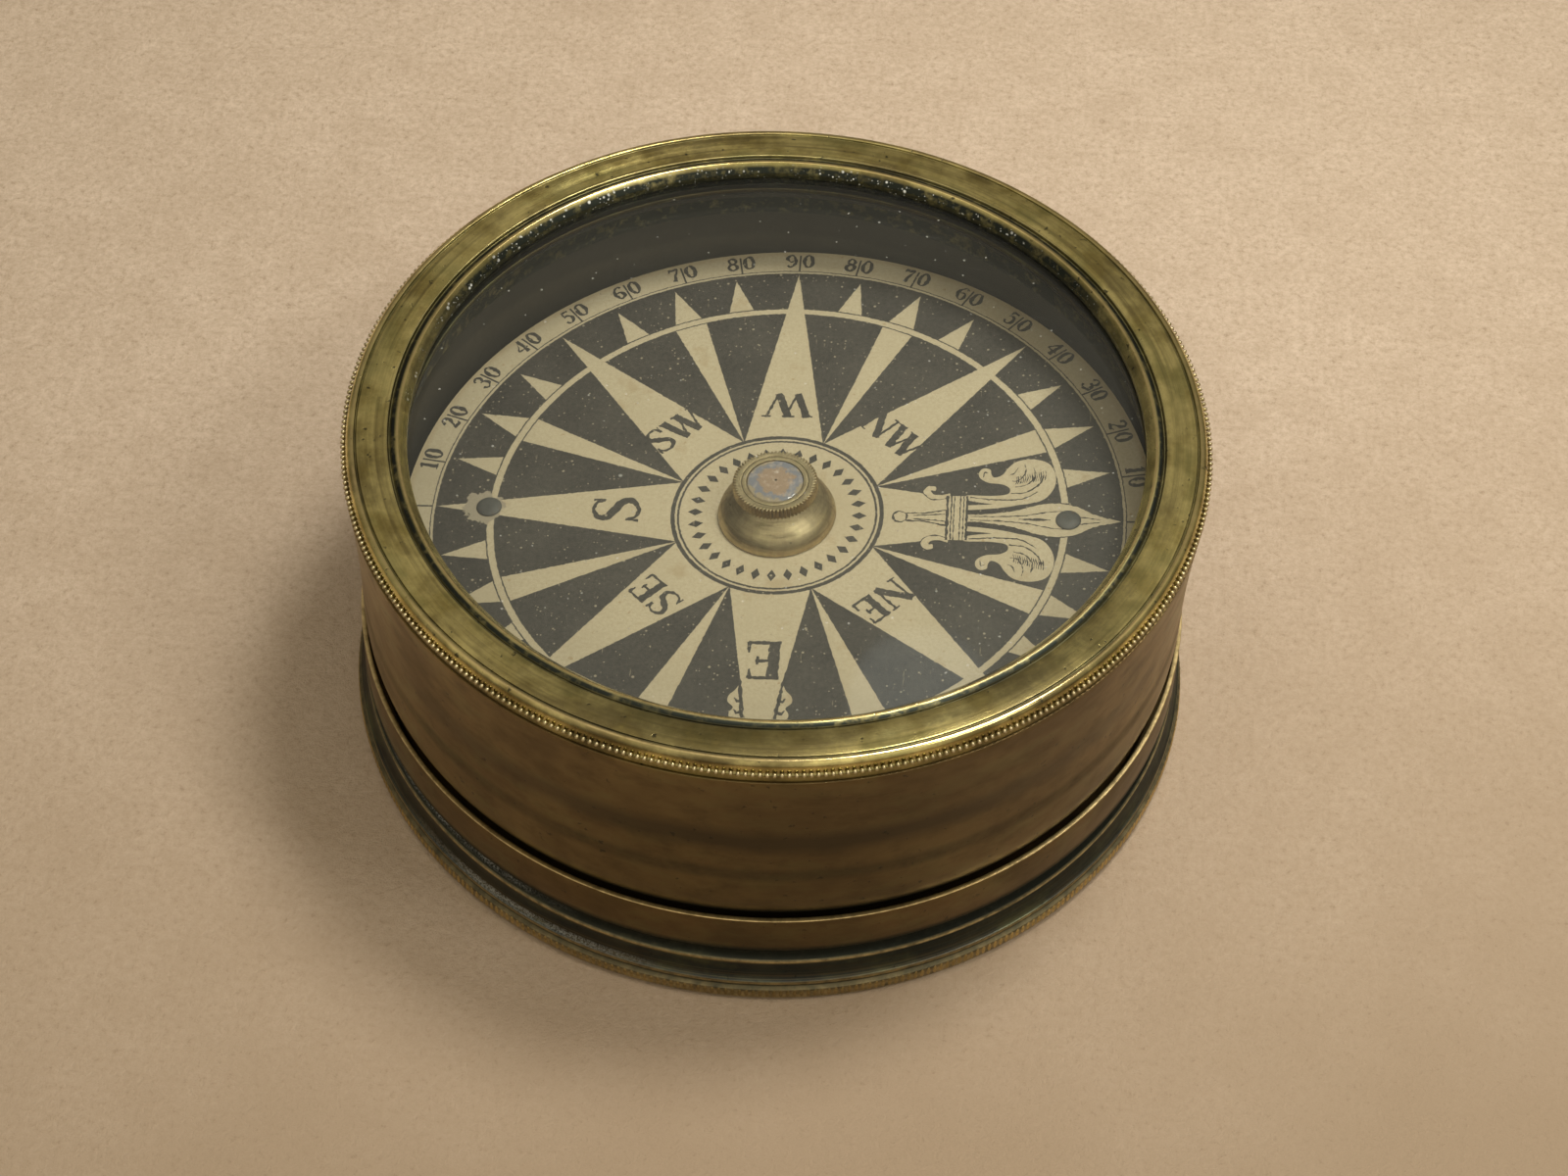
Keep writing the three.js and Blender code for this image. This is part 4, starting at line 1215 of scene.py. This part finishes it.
# Writes a word with its foot at a radius along a bearing in degrees, clockwise from north. Each stroke lies
# a hair over the one before, so that no two faces share a plane.
def write(layer, word, bearing, radius, height, tops=1, stretch=1.0, shift=0.0, weight=1.0):
    turn = -math.radians(bearing)
    outward = Vector((math.cos(turn), math.sin(turn))) * tops
    onward = Vector((outward.y, -outward.x))
    foot = Vector((math.cos(turn), math.sin(turn))) * radius
    place = shift - sum(glyphs[letter][0] for letter in word) * height * stretch / 2
    for letter in word:
        width, strokes = glyphs[letter]
        for i, stroke in enumerate(strokes):
            points = []
            for x, y, thick in stroke:
                spot = foot + onward * (place + x * height * stretch) + outward * (y * height)
                points.append((spot.x, spot.y, thick * height * weight))
            layer.stroke(points, i * lettering["overlap"])
        place += width * height * stretch


# The figures run from 10 to 90 and back in each half of the circle, and each pair stands astride its tick.
def makeLettering():
    layer = Layer(card["lift"] * card["footShare"], card["lift"] + card["ink"])
    for word, bearing, radius, height, tops, stretch in lettering["words"]:
        write(layer, word, bearing, radius, height, tops, stretch)
    height = lettering["figureHeight"]
    for bearing in range(0, 360, lettering["figureStep"]):
        value = min(bearing % 180, 180 - bearing % 180)
        if not value:
            continue
        for side, figure in zip((-1, 1), str(value)):
            shift = side * (lettering["figureGap"] + glyphs[figure][0] * height / 2)
            write(
                layer, figure, bearing, lettering["figureBase"], height, shift=shift,
                weight=lettering["figureWeight"],
            )
    layer.lay("card_lettering", printInk)


makeLettering()


# The nodes that set four-sided marks round a circle on the card
def marksGroup():
    group, tree, given = newGroup("marks round a circle", {
        "Count": "Int", "Radius": "Float", "Size": "Vector", "Level": "Float", "Corner Turn": "Float",
        "Finish": "Material",
    })
    block = tree.add("GeometryNodeMeshCylinder", {"Vertices": 4, "Radius": 0.5, "Depth": 1})
    mark = tree.add("GeometryNodeTransform", {
        "Geometry": block, "Rotation": tree.vector(0, 0, given.other("Corner Turn")),
    })
    marks = setRound(
        tree, mark, given, given.other("Radius"), given.other("Size"), given.other("Level"),
        given.other("Finish"),
    )
    tree.add("NodeGroupOutput", {"Geometry": marks})
    return group


marksRound = marksGroup()
marking = {
    "sink": 0.008, "ticks": 36, "tickLength": 2.15, "tickWidth": 0.17, "lozenges": 32, "lozengeRadius": 7.35,
    "lozengeLength": 1.35, "lozengeWidth": 0.8,
}


# A ring of marks in mm, each a bar or, with its corners to the front and sides, a lozenge
def makeMarks(name, count, radius, length, width, bars):
    diagonal = math.sqrt(2) if bars else 1
    piece = evaluated(name, marksRound, {
        "Count": count, "Radius": radius * mm,
        "Size": [length * mm * diagonal, width * mm * diagonal, card["ink"] * mm],
        "Level": (card["lift"] + card["ink"] / 2 - marking["sink"]) * mm,
        "Corner Turn": math.pi / 4 if bars else 0.0, "Finish": printInk,
    }, sharp=card["sharpDegrees"])
    piece.data.transform(cardPlane)
    dress(piece, "card", "printed_paper")


tickRadius = rose["scaleLine"] + marking["tickLength"] / 2
makeMarks("degree_ticks", marking["ticks"], tickRadius, marking["tickLength"], marking["tickWidth"], True)
makeMarks(
    "hub_lozenges", marking["lozenges"], marking["lozengeRadius"], marking["lozengeLength"],
    marking["lozengeWidth"], False,
)
print("card: sheet, letters, figures and marks")


# Fleur-de-lis on the north point and a flourish at the east: half of each is given, and the other half is
# mirrored. Points are (along the card's axis, aside), and those of pen strokes have a width too. A row of
# hatches is its (start, step, length), and a point of "hatch" is (lean, share of the length, width).
lily = {
    "petal": [
        (16.9, 0.5), (18.6, 0.55), (21.2, 1.05), (23.4, 1.85), (25.2, 2.05), (26.8, 1.7), (28.2, 0.85),
        (29.6, 0.35), (30.7, 0.0),
    ],
    "leaf": [
        (16.9, 2.2), (18.6, 1.85), (20.4, 1.75), (22.2, 1.85), (23.8, 2.5), (24.7, 4.0), (24.75, 5.6),
        (24.1, 6.9), (22.7, 7.35), (21.3, 7.05), (20.5, 6.2), (20.0, 5.35), (19.3, 5.0), (19.0, 5.4),
        (18.9, 5.95), (18.3, 6.1), (17.9, 5.6), (18.0, 4.9), (18.8, 4.35), (20.0, 4.2), (20.7, 3.7),
        (20.5, 3.0), (19.0, 2.75), (16.9, 2.75),
    ],
    "strand": [(16.8, 1.0), (19.4, 1.25), (21.6, 1.75), (23.0, 2.35), (21.0, 2.1), (18.8, 1.7), (16.8, 1.5)],
    "curl": [
        (15.3, 2.5), (14.5, 2.15), (13.5, 2.3), (12.95, 3.1), (13.4, 3.85), (14.1, 3.7), (14.05, 3.2),
        (13.7, 3.2), (13.9, 2.85), (14.6, 2.75), (15.3, 3.0),
    ],
    "veins": [
        [(17.2, 2.5, 0.07), (19.5, 2.3, 0.13), (21.8, 2.45, 0.12), (23.2, 3.4, 0.05)],
        [(20.8, 3.1, 0.05), (22.2, 3.3, 0.12), (23.4, 4.4, 0.12), (23.7, 5.6, 0.04)],
        [(21.2, 3.9, 0.04), (22.2, 4.2, 0.11), (22.9, 5.2, 0.12), (22.8, 6.3, 0.04)],
        [(20.9, 4.6, 0.04), (21.6, 4.8, 0.1), (22.1, 5.8, 0.11), (22.0, 6.7, 0.04)],
        [(20.7, 5.4, 0.04), (21.1, 5.6, 0.1), (21.4, 6.3, 0.05)],
        [(18.3, 5.0, 0.05), (18.4, 5.6, 0.12), (18.7, 5.5, 0.05)],
        [(16.9, 0.75, 0.05), (19.5, 0.95, 0.14), (21.4, 1.4, 0.1), (23.0, 2.1, 0.04)],
        [(17.3, 0.22, 0.04), (19.8, 0.25, 0.09), (22.3, 0.5, 0.09), (24.3, 0.95, 0.08), (26.0, 1.1, 0.04)],
        [(26.2, 0.5, 0.03), (27.6, 0.35, 0.09), (28.9, 0.12, 0.03)],
        [(12.2, 0.2, 0.04), (13.6, 0.3, 0.1), (15.0, 0.42, 0.06)],
    ],
    "petalPen": 0.09, "curlPen": 0.07, "stalk": [(11.5, 0.42, 0.13), (13.2, 0.5, 0.12), (15.2, 0.95, 0.12)],
    "hatches": [((21.2, 4.2), (0.2, 0.06), 0.95), ((22.6, 4.5), (0.2, 0.05), 1.15)], "hatchCount": 7,
    "hatch": [(0, 0, 0.03), (0.12, 0.5, 0.08), (0.05, 1, 0.02)],
    "ring": (11.0, 0.62, 0.18), "heart": [(21.6, 0, 0.05), (23.2, 0, 0.34), (24.4, 0, 0.05)],
    "collar": (15.2, 16.95, 2.65),
    "collarLines": [(15.2, 0.22), (15.55, 0.1), (15.8, 0.07), (16.35, 0.09), (16.65, 0.08), (16.95, 0.2)],
    "flourish": [
        (19.8, 1.7), (20.5, 2.2), (21.1, 2.7), (21.8, 2.75), (22.4, 2.25), (23.0, 2.55), (23.6, 2.45),
        (24.3, 1.8), (25.2, 1.2), (22.6, 1.3),
    ],
    "flourishStem": [(18.4, 2.0, 0.06), (20.4, 1.78, 0.3), (22.6, 1.5, 0.34), (25, 1.3, 0.16)],
    "barbs": (21.6, 22.9, 24.0), "barb": [(0, 1.5, 0.32), (0.15, 1.95, 0.26), (-0.25, 2.2, 0.06)], "steps": 4,
    "rises": {"leaf": 0.0004, "strand": 0.0006, "curl": 0.0008, "petal": 0.0012, "collar": 0.0016},
}


# One side of the lily and of the flourish; side is 1 or -1. Each inlay rises to its own level, so that none
# share a face.
def makeLilySide(inlay, lines, side):
    def north(points):
        return [(x, y * side, *width) for x, y, *width in points]

    def east(points):
        return [(y * side, -x, *width) for x, y, *width in points]

    steps = lily["steps"]
    for name in ("leaf", "strand", "curl"):
        inlay.shape(curved(north(lily[name]), steps, True), lily["rises"][name] * side)
    for vein in lily["veins"]:
        lines.stroke(curved(north(vein), steps))
    lines.stroke(curved(north([(*point, lily["petalPen"]) for point in lily["petal"][:-1]]), steps))
    lines.stroke(curved(north([(*point, lily["curlPen"]) for point in lily["curl"]]), steps))
    lines.stroke(north(lily["stalk"]))
    for start, step, length in lily["hatches"]:
        for i in range(lily["hatchCount"]):
            x, y = start[0] + step[0] * i, start[1] + step[1] * i
            hatch = [(x + lean, y + length * share, width) for lean, share, width in lily["hatch"]]
            lines.stroke(north(hatch))
    inlay.shape(curved(east(lily["flourish"]), steps, True))
    lines.stroke(east(lily["flourishStem"]))
    for reach in lily["barbs"]:
        lines.stroke(east([(reach + lean, aside, width) for lean, aside, width in lily["barb"]]))


def makeLily():
    over = card["lift"]
    inlay = Layer(over * card["footShare"], over)
    lines = Layer(over * card["lineFootShare"], over + card["line"])
    for side in (1, -1):
        makeLilySide(inlay, lines, side)
    outline = curved(lily["petal"], lily["steps"])
    inlay.shape(outline + [(x, -y) for x, y in reversed(outline[:-1])], lily["rises"]["petal"])
    low, high, half = lily["collar"]
    inlay.shape([(low, -half), (high, -half), (high, half), (low, half)], lily["rises"]["collar"])
    for x, width in lily["collarLines"]:
        lines.stroke(bar(x, -half, x, half, width), lettering["overlap"])
    x, size, thick = lily["ring"]
    lines.stroke(oval(x, 0, size, size, thick, 20))
    lines.stroke(lily["heart"], lettering["overlap"])
    inlay.lay("lily_paper", cream)
    lines.lay("lily_lines", printInk)


makeLily()
print("card: lily and flourishes")


# Dull steel with brown specks of rust
def steelFinish(name, light, dark, roughness, metallic=0.9):
    paint = Finish(name)
    grain = paint.noise(2.2, 4, 0.65)
    clouds = paint.noise(0.35, 3, 0.5, 3)
    colour = paint.mix(clouds.over(0.5, 0.3), light, dark)
    colour = paint.mix(grain.over(0.66, 0.1) * 0.6, colour, (0.16, 0.085, 0.04))
    return paint.principled(
        Base_Color=colour, Metallic=metallic, Roughness=roughness + grain * 0.2,
        Normal=paint.bump(0.35, 0.06, grain),
    )


# Rivets of the needle, each with a head over the card and one under the bar
def makeRivets():
    steel = steelFinish("rivetSteel", (0.13, 0.126, 0.122), (0.085, 0.083, 0.08), 0.5, 0.3)
    radius, shank, height = rivets["radius"], rivets["shank"], rivets["height"]
    bottom, lift = -rivets["bottom"], rivets["lift"]
    profile = [
        (0, bottom - height), (radius, bottom - height / 2), (radius, bottom), (shank, bottom), (shank, lift),
        *quarter((radius, lift), (0, height + lift), 6),
    ]
    for name, side in (("north", 1), ("south", -1)):
        plane = cardPlane @ Matrix.Translation((side * rivets["reach"] * mm, 0, 0))
        head = turned(
            "rivet_head_" + name, profile, steel, facets=rivets["facets"], corner=rivets["corner"],
            plane=plane,
        )
        dress(head, "card", "blued_steel", "needle_rivet_" + name)


makeRivets()


# Cap
cap = {
    "flange": 5.3, "flangeThick": 0.1, "undercut": 0.3, "clearance": 0.03, "neck": 2.95, "height": 4.35,
    "tail": 2.2, "tailBottom": -3.3, "bore": 1.5, "socket": 2.55, "paste": 0.05, "corner": 0.02,
    "facets": 180,
    "bell": [(5.2, 0.62), (4.97, 1.12), (4.55, 1.6), (4.08, 1.98), (3.65, 2.38), (3.3, 2.75), (3.08, 3.0)],
}
collar = {
    "radius": 3.8, "height": 1.15, "lowEdge": 0.12, "topEdge": 0.1, "teeth": 68, "depth": 0.32, "steps": 6,
    "milled": 0.2,
}
agate = {
    "radius": 2.5, "bottom": 2.3, "crown": 0.15, "hollow": 1.0, "hollowDepth": 1.15, "edge": 0.1,
    "corner": 0.05, "facets": 96,
}


def makeCapBell(metal):
    rim = cap["undercut"] / 2
    socketFloor = agate["bottom"] - cap["paste"]
    profile = [
        (cap["bore"], cap["tailBottom"]), (cap["tail"], cap["tailBottom"]), (cap["tail"], cap["clearance"]),
        (cap["flange"] - cap["undercut"], cap["clearance"]), (cap["flange"] - cap["undercut"], rim),
        (cap["flange"], rim), (cap["flange"], rim + cap["flangeThick"]), *cap["bell"],
        (cap["neck"], cap["height"] - collar["height"]), (cap["neck"], cap["height"]),
        (cap["socket"], cap["height"]), (cap["socket"], socketFloor), (cap["bore"], socketFloor),
    ]
    bell = turned("cap_bell", profile, metal, facets=cap["facets"], corner=cap["corner"], plane=cardPlane)
    dress(bell, "card", "bright_brass", "cap_body")


# The collar is turned smooth, with so many facets to a tooth. What lies within "milled" of its edge is then
# cut into straight teeth.
def makeCollar(metal):
    inner = cap["neck"] + cap["paste"]
    outer = collar["radius"]
    top = cap["height"]
    low = top - collar["height"]
    profile = [
        (inner, low), (outer - collar["lowEdge"], low), (outer, low + collar["lowEdge"]),
        (outer, top - collar["topEdge"]), (outer - collar["topEdge"], top), (inner, top),
    ]
    facets = collar["teeth"] * collar["steps"]
    ring = turned("knurled_collar", profile, metal, facets=facets, corner=cap["corner"])
    for vertex in ring.data.vertices:
        flat = Vector((vertex.co.x, vertex.co.y))
        if flat.length > (outer - collar["milled"]) * mm:
            along = math.atan2(flat.y, flat.x) / (2 * math.pi) * collar["teeth"] % 1
            flat *= 1 - collar["depth"] * mm * abs(2 * along - 1) / flat.length
            vertex.co = (flat.x, flat.y, vertex.co.z)
    ring.data.set_sharp_from_angle(angle=math.radians(turning["sharpDegrees"]))
    ring.data.transform(cardPlane)
    dress(ring, "card", "bright_brass", "cap_collar")


# The agate is hollow underneath, where the steel point bears, and domed on top.
def makeAgate():
    radius, bottom, top, crown = agate["radius"], agate["bottom"], cap["height"], agate["crown"]
    profile = [
        (0, bottom + agate["hollowDepth"]), (agate["hollow"], bottom), (radius, bottom),
        (radius, top - agate["edge"]), (radius - agate["edge"], top), (radius / 2, top + crown * 0.75),
        (0, top + crown),
    ]
    stone = agateFinish()
    facets, corner = agate["facets"], agate["corner"]
    jewel = turned("agate_jewel", profile, stone, facets=facets, corner=corner, plane=cardPlane)
    dress(jewel, "card", "agate", "agate_cup")


# A pink middle, a grey ring and a brown rim, all ragged, with a dark dot over the point
def agateFinish():
    paint = Finish("agate")
    ragged = (paint.noise(0.7, 4, 0.6) - 0.5) * 3 + (paint.noise(2.6, 3, 0.7, 8) - 0.5) * 0.9
    warped = paint.radius + ragged
    colour = paint.mix(warped.over(1.6, 0.3), (0.36, 0.255, 0.185), (0.225, 0.23, 0.275))
    colour = paint.mix(warped.over(2.3, 0.3), colour, (0.36, 0.29, 0.2))
    colour = paint.mix(paint.noise(1.8, 3, 0.6, 3).over(0.6, 0.2) * 0.5, colour, (0.62, 0.5, 0.42))
    colour = paint.mix(1 - paint.radius.over(0.11, 0.05), colour, (0.03, 0.025, 0.02))
    return paint.principled(Base_Color=colour, Roughness=0.18, Coat_Weight=0.6, Coat_Roughness=0.05)


capBrass = brassFinish(
    "capBrass", (0.66, 0.54, 0.34), (0.52, 0.42, 0.26), 0.44, cloudScale=0.7, spots=0.4, mottle=0.2,
)
makeCapBell(capBrass)
makeCollar(capBrass)
makeAgate()
print("card: rivets, cap and agate")


def pasteboardFinish():
    paint = Finish("pasteboard")
    fibres = paint.noise(2.0, 4, 0.65)
    layers = paint.noise(1.6, 3, 0.6, 2, paint.vector(paint.radius * 0.2, paint.angle, paint.z * 9))
    colour = paint.mix(fibres, (0.2, 0.145, 0.08), (0.3, 0.225, 0.135))
    relief = paint.bump(0.5, 0.1, fibres + layers)
    return paint.principled(Base_Color=colour, Roughness=0.8 + fibres * 0.15, Normal=relief)


# Finishes of the pieces whose solids stay as they are
plainNodes = {
    "glass": glassFinish(),
    "card_board": pasteboardFinish(),
    "needle_bar": steelFinish("needleSteel", (0.085, 0.1, 0.13), (0.05, 0.055, 0.065), 0.36),
    "pivot_pin": steelFinish("pinSteel", (0.3, 0.3, 0.32), (0.16, 0.17, 0.2), 0.28),
    "pivot_stem": brassFinish("stemBrass", (0.5, 0.4, 0.19), (0.36, 0.27, 0.11), 0.4, cloudScale=0.3),
    "cap_nut": brassFinish("nutBrass", (0.3, 0.22, 0.09), (0.16, 0.12, 0.05), 0.45, cloudScale=0.3),
    "drum_floor": brassFinish("floorBrass", (0.3, 0.22, 0.09), (0.13, 0.1, 0.045), 0.5, cloudScale=0.1),
}
for node, material in plainNodes.items():
    for slot in nodes[node].material_slots:
        slot.material = material
print("finishes: all nodes painted")


def finishAll():
    bpy.context.view_layer.update()


finishAll()
